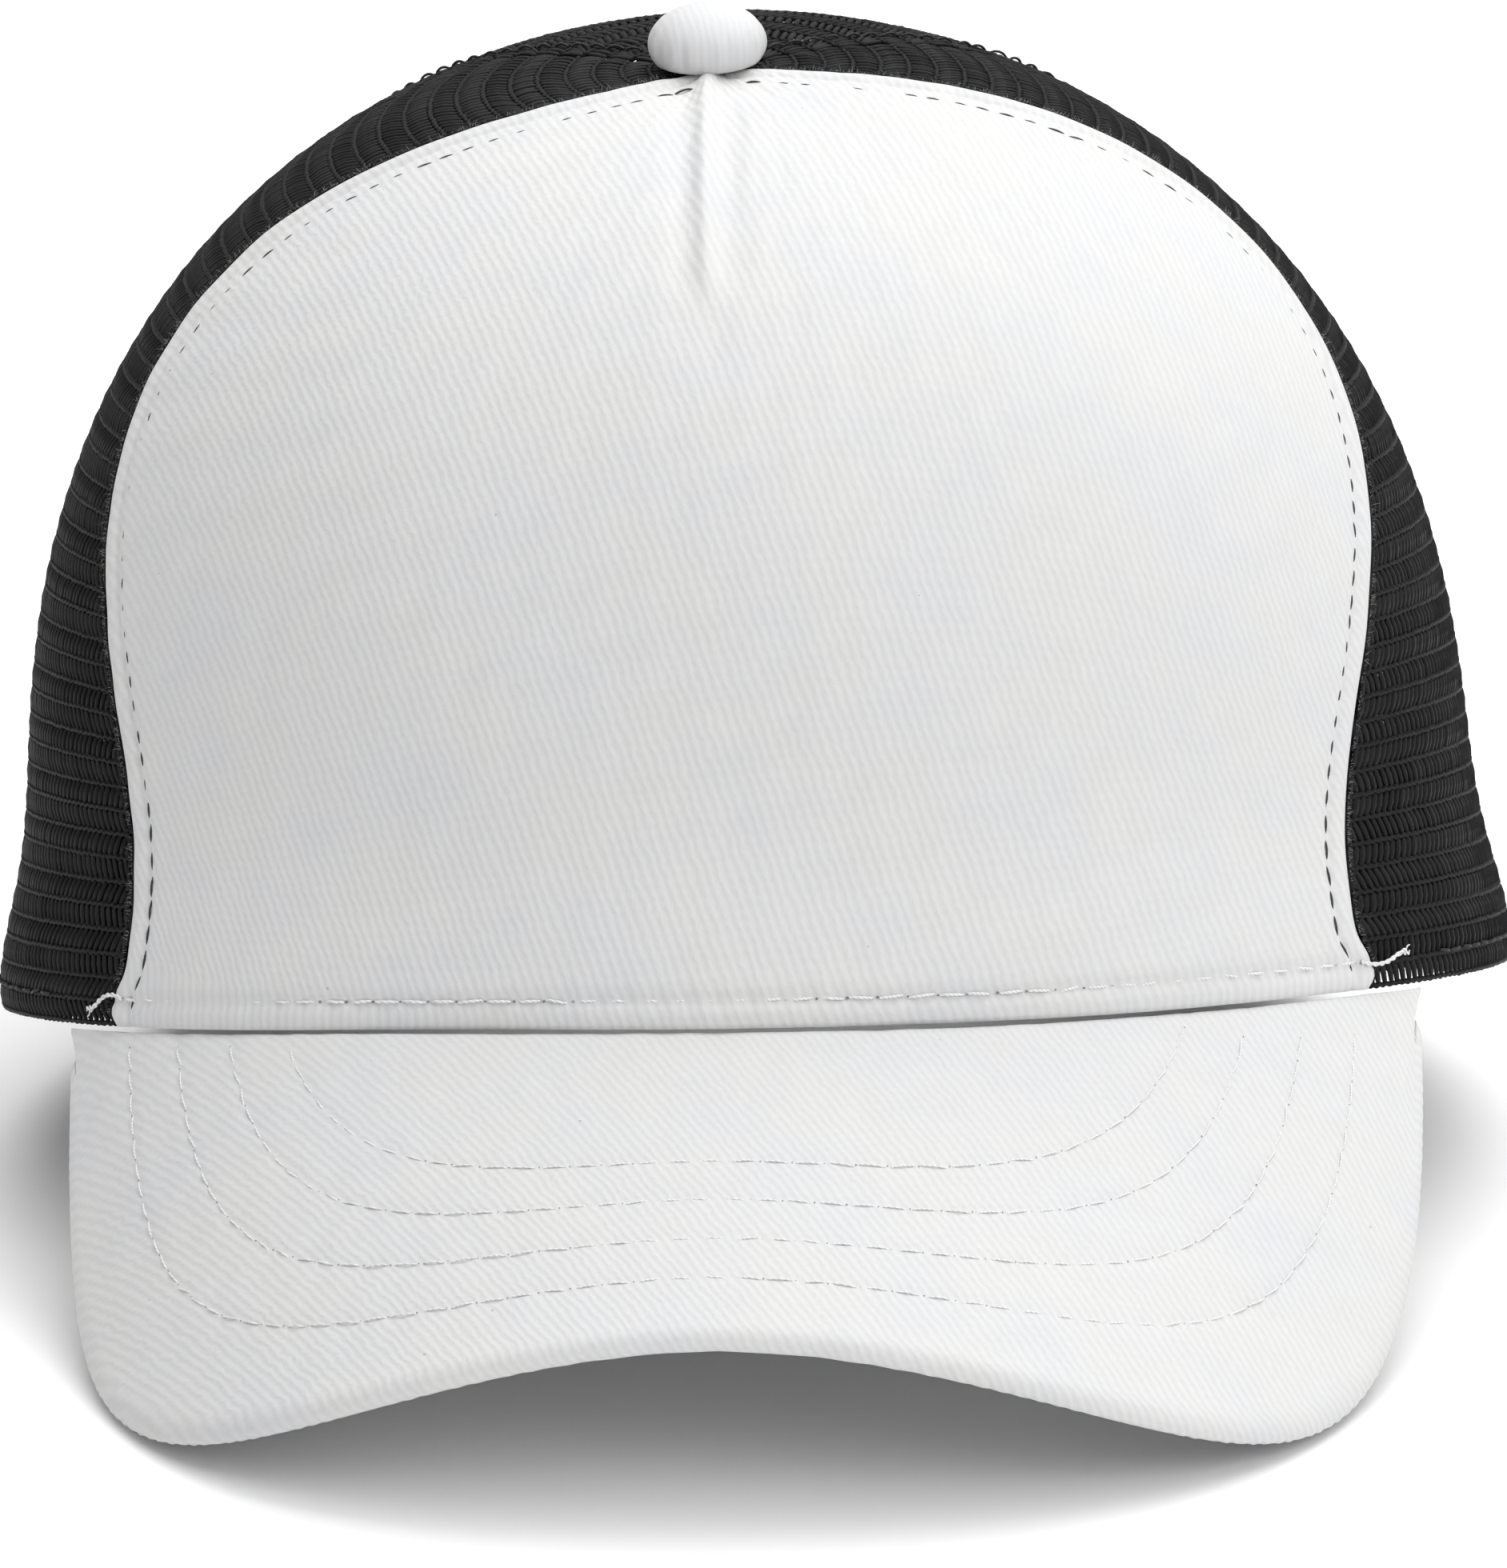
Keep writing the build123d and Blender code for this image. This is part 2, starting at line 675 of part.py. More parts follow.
def make_parts():
    tape_top = SEAM_TAPE_CLIMB[1]
    parts = {
        "front_panel": front_panel(),
        "front_buckram": front_buckram(),
        "button_cover": button_cover(),
        "button_shell": button_shell(),
        "button_prong": button_prong(),
        "seam_tape_rear": seam_tape(rear_seam, 1, climb_at(pi, REAR_TAPE_HEIGHT), tape_top),
        "rear_arch_binding": rear_arch_binding(),
        "sweatband": sweatband(),
        "band_padding": band_padding(),
        "care_label": care_label(),
        "visor_board": visor_board(),
        "visor_top_cover": visor_top_cover(),
        "visor_under_cover": visor_under_cover(),
        "strap_holes_root": strap_holes("root"),
        "strap_holes_tab": strap_holes("tab"),
        "strap_pegs_root": strap_pegs("root"),
        "strap_pegs_tab": strap_pegs("tab"),
    }
    for side, name in ((-1, "left"), (1, "right")):
        parts[f"mesh_side_{name}"] = mesh_side(side)
        parts[f"mesh_rear_{name}"] = mesh_rear(side)
        parts[f"seam_tape_front_{name}"] = seam_tape(front_seam, side, *SEAM_TAPE_CLIMB)
        parts[f"seam_tape_side_{name}"] = seam_tape(side_seam, side, *SEAM_TAPE_CLIMB)
    return parts


def main():
    os.makedirs("parts", exist_ok=True)
    place = rest_place()
    for name, shape in make_parts().items():
        placed = place * shape
        placed.label = name
        export_step(placed, f"parts/{name}.step")


main()
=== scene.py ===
"""Trucker mesh cap: the soft pieces, their stitching, materials, light and camera.

The cap's shape is worked out in its own level frame, in millimetres, with the hem at z = 0 and
the visor towards -Y, and then leaned back to the way it rests on the table, in metres.
"""
import bpy
import numpy as np
from functools import partial
from math import cos, pi, radians, sin, tan
from mathutils import Matrix, Vector


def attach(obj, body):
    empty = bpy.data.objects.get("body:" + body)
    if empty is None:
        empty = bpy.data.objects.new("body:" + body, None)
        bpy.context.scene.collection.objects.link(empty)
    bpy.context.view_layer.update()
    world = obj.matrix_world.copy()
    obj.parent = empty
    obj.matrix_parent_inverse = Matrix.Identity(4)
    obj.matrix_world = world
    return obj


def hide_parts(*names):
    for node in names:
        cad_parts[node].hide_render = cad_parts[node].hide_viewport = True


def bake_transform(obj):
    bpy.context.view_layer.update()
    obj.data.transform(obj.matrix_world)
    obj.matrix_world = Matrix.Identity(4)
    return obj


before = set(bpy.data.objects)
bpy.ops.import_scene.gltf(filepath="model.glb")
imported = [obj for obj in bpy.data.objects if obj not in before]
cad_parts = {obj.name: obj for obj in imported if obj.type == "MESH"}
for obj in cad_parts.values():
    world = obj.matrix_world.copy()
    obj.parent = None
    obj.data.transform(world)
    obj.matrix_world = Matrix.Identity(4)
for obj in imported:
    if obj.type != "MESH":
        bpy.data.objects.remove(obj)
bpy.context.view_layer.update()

# ---------------------------------------------------------------- the cap's sizes, as in the CAD
DOME_HALF_WIDTH, DOME_FRONT, DOME_REAR = 98.0, 81.0, 88.5
DOME_RISE, DOME_DROP, CENTRE_HEIGHT = 108.6, 114.0, 16.6
POWER_FRONT, POWER_SIDE, POWER_REAR = 2.7, 2.3, 2.5
SPREAD_WITH_HEIGHT, HEM_FLARE, HEM_FLARE_HEIGHT = 0.03, 0.06, 17.0
REAR_LIFT, BUTTON_Y, BUTTON_SEAT, BUTTON_SEAT_RADIUS = 0.258, -10.4, 1.3, 21.0
CROWN_ROLL, TOP_LEAN, TOP_LEAN_HEIGHT = 1.66, -1.7, 119.0
VISOR_STIFF_EDGE, VISOR_BLEND = -81.0, 8.5
FRONT_SEAM_AZIMUTH, FRONT_SEAM_BULGE = radians(56.6), 0.386
FRONT_SEAM_SWAY, FRONT_SEAM_TWIST = -0.145, 0.23
SEAM_FOOT, SEAM_FOOT_CLIMB, SEAM_FOOT_SPREAD = 0.033, 0.012, 0.025
SIDE_SEAM_AZIMUTH = radians(118.0)
SEAM_GAP = 0.6
TWILL, BUCKRAM, MESH = (0.0, 0.9), (1.1, 1.9), (0.25, 1.25)
SEAM_TAPE, SEAM_TAPE_WIDTH = (2.2, 3.0), 11.0
BAND_PADDING, SWEATBAND, SWEATBAND_HEIGHT = (3.2, 5.2), (5.6, 6.8), 31.0
BAND_END_ARC = 62.0
ARCH_HALF_WIDTH, ARCH_SPRING, ARCH_HEIGHT = 46.0, 12.0, 50.0
BINDING_WIDTH, BINDING_BEND, BINDING_THICKNESS = 6.5, 1.4, 0.8
VISOR_SLOPE, VISOR_ARCH, VISOR_ARCH_LENGTH = 34.25, 0.0037, 57.0
VISOR_HALF_WIDTH, VISOR_REACH, VISOR_CORNER_Y = 89.5, 98.45, -36.25
VISOR_POWER, VISOR_THICKNESS, COVER_THICKNESS = 2.68, 3.5, 0.8
UNDER_COVER, VISOR_SEAM_GAP, VISOR_CORNER_ANGLE = (2.8, 3.5), 0.5, 0.06
REAR_HEM_HEIGHT, REST_SHIFT_Y = 0.9, 21.2
BUTTON_RADIUS, BUTTON_HEIGHT, BUTTON_CLEARANCE = 7.9, 8.4, 0.45
BUTTON_WAIST, BUTTON_TUCK = 2.5, 1.5

MEAN_RADIUS, CLIMB_LENGTH = 95.0, 150.0  # the crown's radius, and the way from its hem to the button
POLE_CLIMB = 1 - 3.2 / CLIMB_LENGTH
DART_END, DART_FADE = 0.685, 0.022
PANEL_STITCH, BRIM_STITCH, BINDING_STITCH, TAPE_STITCH_SHARE = 3.6, 3.6, 5.2, 0.72
ARC_RADIUS, HAIR_RADIUS, NET_MIDDLE = 108.0, 0.028, 0.72
WALE, COURSE, STRAND_SIDES = 1.36, 2.95, 5
STITCH_ROWS = (9.0, 15.2, 21.4, 27.6)
VISOR_TURN_INSET, VISOR_LIP_INSET, VISOR_TOP_ROWS, VISOR_EDGE_ROW = 1.6, 3.4, 86, 90
CLOSURE_RADIUS, CLOSURE_LEAN, STRAP_THICKNESS, STRAP_SPACING = 111.1, 8.5, 1.2, 0.3
STRAP_BOTTOM, STRAP_HEIGHT, FLEX_LINE = 4.0, 18.0, 27.0
WHITE = 0.69

rng = np.random.default_rng(20)


# ---------------------------------------------------------------- the dome and its settling
def xyz(x, y, z):
    return np.stack(np.broadcast_arrays(x, y, z), -1).astype(float)


def unit(v):
    return v / (np.linalg.norm(v, axis=-1, keepdims=True) + 1e-12)


def swell(value, middle, width):
    """Smooth bump of height 1 round a middle value."""
    return np.exp(-(((value - middle) / width) ** 2))


def smooth_step(value, low, high):
    t = np.clip((value - low) / (high - low), 0, 1)
    return t * t * (3 - 2 * t)


def circle(sides):
    return np.linspace(0, 2 * pi, sides, endpoint=False)


def direction(azimuth, latitude):
    flat = np.cos(latitude)
    return xyz(np.sin(azimuth) * flat, -np.cos(azimuth) * flat, np.sin(latitude))


def dome(ray):
    x, y, z = ray[..., 0], ray[..., 1], ray[..., 2]
    depth = np.where(y < 0, DOME_FRONT, DOME_REAR)
    facing = -y / (np.hypot(x, y) + 1e-9)
    power = POWER_SIDE + (np.where(facing > 0, POWER_FRONT, POWER_REAR) - POWER_SIDE) * facing**2
    plan = np.hypot(x / DOME_HALF_WIDTH, y / depth)
    rise = np.where(z > 0, DOME_RISE, DOME_DROP)
    reach = (plan**power + np.abs(z / rise) ** power) ** (-1 / power)
    x, y, z = np.moveaxis(ray * reach[..., None], -1, 0)
    above = z + CENTRE_HEIGHT
    spread = 1 + SPREAD_WITH_HEIGHT * z / DOME_RISE + HEM_FLARE * swell(above, 0, HEM_FLARE_HEIGHT)
    x, y = x * spread, y * spread
    up = np.maximum(z / DOME_RISE, 0.0) ** 2
    seat = np.exp(-(x**2 + (y - BUTTON_Y) ** 2) / BUTTON_SEAT_RADIUS**2)
    return xyz(x, y, above + up * (REAR_LIFT * (y - BUTTON_Y) - BUTTON_SEAT * seat))


HEM_TABLE = np.linspace(-1.3 * pi, 1.3 * pi, 2601)
hem_table_latitude = np.full_like(HEM_TABLE, -0.15)
for _ in range(30):
    hem_points = dome(direction(HEM_TABLE, hem_table_latitude))
    hem_table_latitude -= hem_points[:, 2] / np.hypot(hem_points[:, 0], hem_points[:, 1]) * 0.9
hem_table_radius = np.hypot(hem_points[:, 0], hem_points[:, 1])


def hem_latitude(azimuth):
    return np.interp(azimuth, HEM_TABLE, hem_table_latitude)


def hem_radius(azimuth):
    return np.interp(azimuth, HEM_TABLE, hem_table_radius)


BUTTON_TILT = 0.0
for _ in range(30):
    BUTTON_TILT += (BUTTON_Y - dome(xyz(0.0, sin(BUTTON_TILT), cos(BUTTON_TILT)))[1]) / DOME_RISE
BUTTON_RAY = xyz(0.0, sin(BUTTON_TILT), cos(BUTTON_TILT))


def settle(p):
    roll = tan(radians(CROWN_ROLL))
    hold = 1 / (1 + np.exp(-(p[..., 1] - VISOR_STIFF_EDGE) / VISOR_BLEND))
    lean = TOP_LEAN * np.maximum(p[..., 2] / TOP_LEAN_HEIGHT, 0.0) ** 2
    return xyz(p[..., 0] - roll * p[..., 2] * hold + lean, p[..., 1], p[..., 2] + roll * p[..., 0] * hold)


def dome_at(azimuth, climb):
    start = direction(azimuth, hem_latitude(azimuth))
    climb = np.broadcast_to(climb, start.shape[:-1])
    angle = np.arccos(np.clip((start * BUTTON_RAY).sum(-1), -1, 1))
    a, b = np.sin((1 - climb) * angle) / np.sin(angle), np.sin(climb * angle) / np.sin(angle)
    return dome(start * a[..., None] + BUTTON_RAY * b[..., None])


def crown_raw(azimuth, climb):
    return settle(dome_at(azimuth, climb))


def crown(azimuth, climb, depth=0.0):
    """Point on the crown, moved inward by depth along the surface's normal."""
    azimuth, climb = np.broadcast_arrays(azimuth, climb)
    step = 0.004
    along = crown_raw(azimuth + step, climb) - crown_raw(azimuth - step, climb)
    upward = crown_raw(azimuth, climb + step) - crown_raw(azimuth, climb - step)
    normal = unit(np.cross(along, upward))
    return crown_raw(azimuth, climb) - normal * np.broadcast_to(depth, climb.shape)[..., None]


def climb_at(azimuth, height):
    azimuth, height = np.broadcast_arrays(np.asarray(azimuth, float), height)
    low, high = np.zeros(azimuth.shape), np.full(azimuth.shape, 0.6)
    for _ in range(24):
        middle = (low + high) / 2
        below = dome_at(azimuth, middle)[..., 2] < height
        low, high = np.where(below, middle, low), np.where(below, high, middle)
    return low


def front_seam(side, climb):
    bulge = FRONT_SEAM_BULGE * np.sin(pi * climb) + FRONT_SEAM_SWAY * np.sin(2 * pi * climb)
    foot = SEAM_FOOT * swell(climb, SEAM_FOOT_CLIMB, SEAM_FOOT_SPREAD)
    return side * (FRONT_SEAM_AZIMUTH + bulge + foot) + FRONT_SEAM_TWIST * climb**2


def side_seam(side, climb):
    return side * (SIDE_SEAM_AZIMUTH + 0.10 * np.sin(pi * climb))


def rear_seam(side, climb):
    return side * pi + 0 * climb


BOTH_SIDES = ((-1, "left"), (1, "right"))
FRONT_LEFT, FRONT_RIGHT = partial(front_seam, -1), partial(front_seam, 1)
SIDE_LEFT, SIDE_RIGHT = partial(side_seam, -1), partial(side_seam, 1)
REAR_LEFT, REAR_RIGHT = partial(rear_seam, -1), partial(rear_seam, 1)


# ---------------------------------------------------------------- the visor
def hem_y(x):
    front = dome(direction(0.0, hem_latitude(0.0)))[1]
    side = dome(direction(pi / 2, hem_latitude(pi / 2)))[0]
    return front * np.sqrt(np.maximum(1 - (x / side) ** 2, 0.0))


def visor_raw(x, y):
    reach = hem_y(x) - y
    fall = tan(radians(VISOR_SLOPE)) * reach
    return settle(xyz(x, y, -fall - VISOR_ARCH * x**2 * reach / VISOR_ARCH_LENGTH))


def visor_point(x, y, depth):
    step = 0.5
    across = visor_raw(x + step, y) - visor_raw(x - step, y)
    along = visor_raw(x, y + step) - visor_raw(x, y - step)
    normal = unit(np.cross(across, along))
    return visor_raw(x, y) - normal * np.broadcast_to(depth, normal.shape[:-1])[..., None]


def visor_edge(share, inset):
    angle = share * (pi / 2 - VISOR_CORNER_ANGLE)
    half, reach = VISOR_HALF_WIDTH - inset, VISOR_REACH - inset
    x = half * np.abs(np.sin(angle)) ** (2 / VISOR_POWER) * np.sign(share)
    return x, VISOR_CORNER_Y - reach * np.cos(angle) ** (2 / VISOR_POWER)


def visor_plan(share, out, edge_inset, seam_gap=VISOR_SEAM_GAP):
    """Plan position on the visor: out 0 is the crown seam and out 1 the line inset from the edge."""
    seam_x = share * (VISOR_HALF_WIDTH - 0.4)
    seam_y = hem_y(seam_x) - seam_gap
    edge_x, edge_y = visor_edge(share, edge_inset)
    return seam_x + (edge_x - seam_x) * out, seam_y + (edge_y - seam_y) * out


# ---------------------------------------------------------------- the way the cap rests
rear_y = dome(direction(pi, hem_latitude(pi)))[1]
tip_line = visor_point(*visor_edge(np.linspace(-1, 1, 81), -0.15), VISOR_THICKNESS)
LEAN = max(np.arctan2(REAR_HEM_HEIGHT - tip_line[:, 2], rear_y - tip_line[:, 1]))
LIFT = rear_y * sin(LEAN) - REAR_HEM_HEIGHT * cos(LEAN)


def place(p):
    """From the level frame in millimetres to the rest frame in metres."""
    y = p[..., 1] * cos(LEAN) + p[..., 2] * sin(LEAN) + REST_SHIFT_Y
    z = -p[..., 1] * sin(LEAN) + p[..., 2] * cos(LEAN) + LIFT
    return xyz(p[..., 0], y, z) / 1000


# ---------------------------------------------------------------- meshes
def make_mesh(name, points, quads, uv=None, material=None, placed=False):
    """points (N,3), quads (M,4) or triangles (M,3), uv per point in millimetres of cloth."""
    mesh = bpy.data.meshes.new(name)
    points = points if placed else place(points)
    faces = [np.asarray(q, int) for q in (quads if isinstance(quads, list) else [quads])]
    counts = np.concatenate([np.full(len(q), q.shape[1]) for q in faces])
    loops = np.concatenate([q.ravel() for q in faces])
    mesh.vertices.add(len(points))
    mesh.vertices.foreach_set("co", points.astype(np.float32).ravel())
    mesh.loops.add(len(loops))
    mesh.loops.foreach_set("vertex_index", loops.astype(np.int32))
    mesh.polygons.add(len(counts))
    starts = np.concatenate([[0], np.cumsum(counts)[:-1]])
    mesh.polygons.foreach_set("loop_start", starts.astype(np.int32))
    mesh.polygons.foreach_set("loop_total", counts.astype(np.int32))
    mesh.polygons.foreach_set("use_smooth", np.ones(len(counts), bool))
    mesh.update()
    mesh.validate()
    if uv is not None:
        layer = mesh.uv_layers.new(name="cloth")
        layer.data.foreach_set("uv", uv[loops].astype(np.float32).ravel())
    piece = bpy.data.objects.new(name, mesh)
    bpy.context.scene.collection.objects.link(piece)
    if material:
        mesh.materials.append(material)
    return piece


def cloth_mesh(name, outer, inner, uv, material):
    """Sheet of cloth between two matching grids of points, closed round its rim."""
    rows, columns = outer.shape[:2]
    index = np.arange(rows * columns).reshape(rows, columns)
    low = index + rows * columns
    top = np.stack([index[:-1, :-1], index[:-1, 1:], index[1:, 1:], index[1:, :-1]], -1).reshape(-1, 4)
    bottom = np.stack([low[:-1, :-1], low[1:, :-1], low[1:, 1:], low[:-1, 1:]], -1).reshape(-1, 4)
    rim = np.concatenate([index[0, :], index[1:, -1], index[-1, -2::-1], index[-2:0:-1, 0]])
    after = np.roll(rim, -1)
    wall = np.stack([rim, rim + rows * columns, after + rows * columns, after], -1)
    points = np.concatenate([outer.reshape(-1, 3), inner.reshape(-1, 3)])
    quads = np.concatenate([top, bottom, wall])
    a, b, c, d = (points[quads[:, i]] for i in range(4))
    if ((a - points[0]) * np.cross(c - a, d - b)).sum() < 0:
        quads = quads[:, ::-1]
    if uv is not None:
        uv = np.concatenate([uv.reshape(-1, 2)] * 2)
    return make_mesh(name, points, quads, uv, material)


def cloth(name, outer, inner, uv, material, node, slot):
    """Sheet of cloth that stands for a node."""
    return settle_piece(cloth_mesh(name, outer, inner, uv, material), node)


def settle_piece(piece, node):
    """Hide the CAD part of the node a piece of the crown stands for, if any, and attach the piece to the
    crown.
    """
    if node:
        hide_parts(node)
    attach(piece, "crown")
    return piece


def lengths_along(points, axis):
    """Running length along one axis of a grid of points, from its first row or column."""
    step = np.linalg.norm(np.diff(points, axis=axis), axis=-1)
    total = np.cumsum(step, axis=axis)
    pad = [(0, 0), (0, 0)]
    pad[axis] = (1, 0)
    return np.pad(total, pad)


def cloth_uv(points):
    """Flat position on the cloth: across from the middle column, up along the middle column."""
    across = lengths_along(points, 1)
    across = across - across[:, across.shape[1] // 2][:, None]
    up = lengths_along(points, 0)[:, points.shape[1] // 2]
    return np.stack([across, np.broadcast_to(up[:, None], across.shape)], -1)


def tube(name, path, radius, material, sides=6):
    """Round thread along a path of points."""
    points, quads = tube_parts(path, radius, sides)
    return make_mesh(name, points, quads, None, material)


def tube_parts(path, radius, sides=6):
    path = np.asarray(path, float)
    along = unit(np.gradient(path, axis=0))
    side = unit(np.cross(along, np.array([0.31, 0.17, 0.93])))
    up = np.cross(side, along)
    turn = circle(sides)[:, None]
    radius = np.broadcast_to(radius, len(path))
    ring = (side[:, None] * np.cos(turn) + up[:, None] * np.sin(turn)) * radius[:, None, None]
    points = (path[:, None] + ring).reshape(-1, 3)
    index = np.arange(len(points)).reshape(-1, sides)
    nxt = np.roll(index, -1, axis=1)
    quads = np.stack([index[:-1], nxt[:-1], nxt[1:], index[1:]], -1).reshape(-1, 4)
    return points, quads


def length_run(path):
    return np.concatenate([[0], np.cumsum(np.linalg.norm(np.diff(path, axis=0), axis=1))])


def sample(at, run, values):
    """Values given along a path, read at other distances along it."""
    return np.stack([np.interp(at, run, values[:, k]) for k in range(3)], -1)


STITCH_RISE = np.array([-0.9, 0.15, 0.75, 1.0, 0.75, 0.15, -0.9])
STITCH_GIRTH = np.array([0.7, 0.95, 1, 1, 1, 0.95, 0.7])


def stitches(name, path, normal, pitch, radius, material, share=0.78, sink=0.0):
    """Lockstitch row: short raised threads that dive into the cloth at each needle hole."""
    run = length_run(path)
    points, quads, base = [], [], 0
    steps = np.linspace(-1, 1, 7)
    for i in range(max(int(run[-1] / pitch), 1)):
        middle = (i + 0.5) * pitch + rng.normal(0, 0.05) * pitch
        half = pitch * share / 2 * (1 + rng.normal(0, 0.06))
        at = middle + steps * half
        centre = sample(at, run, path)
        up = unit(sample(at, run, normal))
        across = unit(np.cross(up, np.gradient(centre, axis=0)))
        slant = rng.normal(0, 0.12) * steps[:, None]
        centre = centre + up * (STITCH_RISE * radius - sink)[:, None] + across * slant
        p, q = tube_parts(centre, radius * STITCH_GIRTH)
        points.append(p)
        quads.append(q + base)
        base += len(p)
    piece = make_mesh(name, np.concatenate(points), np.concatenate(quads), None, material)
    return settle_piece(piece, None)


# ---------------------------------------------------------------- materials
class Nodes:
    """Small helper that makes and links shader nodes."""

    def __init__(self, name):
        self.material = bpy.data.materials.new(name)
        self.material.use_nodes = True
        self.tree = self.material.node_tree
        self.shader = self.tree.nodes["Principled BSDF"]

    def add(self, kind, inputs=None, **settings):
        node = self.tree.nodes.new(kind)
        for key, value in settings.items():
            setattr(node, key, value)
        for key, value in (inputs or {}).items():
            socket = node.inputs[key]
            if isinstance(value, bpy.types.NodeSocket):
                self.tree.links.new(value, socket)
            else:
                socket.default_value = value
        return node

    def math(self, operation, a, b=0.0, c=0.0):
        return self.add("ShaderNodeMath", {0: a, 1: b, 2: c}, operation=operation).outputs[0]

    def mul(self, a, b):
        return self.math("MULTIPLY", a, b)

    def plus(self, a, b):
        return self.math("ADD", a, b)

    def line(self, value, slope, start):
        return self.math("MULTIPLY_ADD", value, slope, start)

    def mix(self, factor, a, b, blend="MIX"):
        node = self.add("ShaderNodeMix", {0: factor, 6: a, 7: b}, data_type="RGBA", blend_type=blend)
        return node.outputs[2]

    def scaled(self, colour, value):
        """A colour made lighter or darker by a value."""
        scale = self.add("ShaderNodeCombineColor", {0: value, 1: value, 2: value}).outputs[0]
        return self.mix(1.0, colour, scale, "MULTIPLY")

    def cloth_place(self):
        return self.add("ShaderNodeUVMap", uv_map="cloth").outputs[0]

    def object_place(self):
        return self.add("ShaderNodeTexCoord").outputs["Object"]

    def stretch(self, vector, scale):
        return self.add("ShaderNodeMapping", {"Vector": vector, "Scale": scale}).outputs[0]

    def split(self, vector):
        return self.add("ShaderNodeSeparateXYZ", {0: vector}).outputs

    def ramp(self, value, stops):
        node = self.add("ShaderNodeValToRGB", {0: value})
        elements = node.color_ramp.elements
        for position, colour in stops[2:]:
            elements.new(position)
        for element, (position, colour) in zip(elements, stops):
            element.position, element.color = position, colour
        return node.outputs[0]

    def noise(self, vector, scale, detail=2.0, rough=0.5):
        inputs = {"Vector": vector, "Scale": scale, "Detail": detail, "Roughness": rough}
        return self.add("ShaderNodeTexNoise", inputs).outputs[0]

    def shade(self, **inputs):
        for key, value in inputs.items():
            socket = self.shader.inputs[key.replace("_", " ")]
            if isinstance(value, bpy.types.NodeSocket):
                self.tree.links.new(value, socket)
            else:
                socket.default_value = value

    def bump(self, height, distance, strength=1.0):
        inputs = {"Height": height, "Distance": distance, "Strength": strength}
        return self.add("ShaderNodeBump", inputs).outputs[0]


def grey(value, tint=(1.0, 1.0, 1.0)):
    return (value * tint[0], value * tint[1], value * tint[2], 1.0)


def twill(name, base, pitch=1.15, angle=20.0, contrast=0.12, relief=0.00008, fuzz=0.55, specks=True):
    """Brushed cotton twill: slanted wales of short floats, soft mottling and loose fibres."""
    n = Nodes(name)
    uv = n.cloth_place()
    wobble = n.add("ShaderNodeTexNoise", {"Vector": uv, "Scale": 0.35, "Detail": 3.0}).outputs[1]
    bent = n.add("ShaderNodeVectorMath", {0: wobble, 1: (0.5, 0.5, 0.5)}, operation="SUBTRACT").outputs[0]
    bent = n.add("ShaderNodeVectorMath", {0: bent, "Scale": 1.1}, operation="SCALE").outputs[0]
    bent = n.add("ShaderNodeVectorMath", {0: uv, 1: bent}, operation="ADD").outputs[0]
    turned = n.add("ShaderNodeMapping", {"Vector": bent, "Rotation": (0, 0, radians(-angle))}).outputs[0]
    across, along = n.split(turned)[:2]
    wale = n.math("SINE", n.mul(across, 2 * pi / pitch))
    # Each wale is a row of short floats, and its neighbour's floats are set half a step along.
    step = n.mul(n.math("FLOOR", n.math("DIVIDE", across, pitch)), 0.37)
    floats = n.math("SINE", n.mul(n.plus(along, step), 2 * pi / (pitch * 1.25)))
    height = n.plus(n.mul(wale, 0.28), n.mul(floats, 0.05))
    fibre = n.noise(n.stretch(turned, (1.9, 0.7, 1.0)), 1.3, 4.0, 0.65)
    fine = n.noise(uv, 5.5, 2.0, 0.6)
    height = n.plus(n.plus(height, n.mul(fibre, 0.95 * fuzz)), n.mul(fine, 0.5 * fuzz))
    shade = n.line(height, contrast, 1.0 - contrast * 0.75)
    warm, cold = grey(base, (1.0, 0.997, 0.975)), grey(base, (0.968, 0.972, 1.0))
    cloudy = n.ramp(n.noise(uv, 0.055, 3.0, 0.55), [(0.30, warm), (0.72, cold)])
    dull = n.noise(uv, 0.17, 4.0, 0.6)
    colour = n.scaled(cloudy, n.mul(shade, n.line(dull, 0.05, 0.975)))
    if specks:
        cell = n.add("ShaderNodeTexVoronoi", {"Vector": uv, "Scale": 0.11, "Randomness": 1.0})
        dot = n.math("LESS_THAN", cell.outputs["Distance"], 0.022)
        pick = n.add("ShaderNodeSeparateColor", {0: cell.outputs["Color"]}).outputs[0]
        dot = n.mul(dot, n.math("GREATER_THAN", pick, 0.6))
        colour = n.mix(n.mul(dot, 0.45), colour, grey(base * 0.35))
    n.shade(Base_Color=colour, Roughness=0.93, Specular_IOR_Level=0.22, Sheen_Weight=0.12,
            Sheen_Roughness=0.45, Normal=n.bump(height, relief))
    return n.material


def net_material():
    """Warp-knit polyester: near-black filament with a faint silky glint."""
    n = Nodes("black_net")
    uv = n.cloth_place()
    strands = n.noise(n.stretch(uv, (6.0, 1.2, 1.0)), 1.6, 3.0, 0.6)
    worn = n.noise(uv, 0.25, 3.0, 0.55)
    value = n.mul(n.line(strands, 1.1, 0.35), n.line(worn, 0.8, 0.6))
    # Every second course is knitted closer, and its colour is darkened for it: painted shade for the less
    # light it takes.
    course = n.math("FRACT", n.math("DIVIDE", n.split(uv)[1], 2 * COURSE))
    value = n.mul(value, n.line(n.math("GREATER_THAN", course, 0.5), -0.55, 1.0))
    colour = n.mix(value, (0.003, 0.003, 0.0033, 1), (0.016, 0.016, 0.017, 1))
    n.shade(Base_Color=colour, Roughness=0.58, Specular_IOR_Level=0.13, Sheen_Weight=0.01,
            Sheen_Roughness=0.4, Normal=n.bump(strands, 0.00012, 0.8))
    return n.material


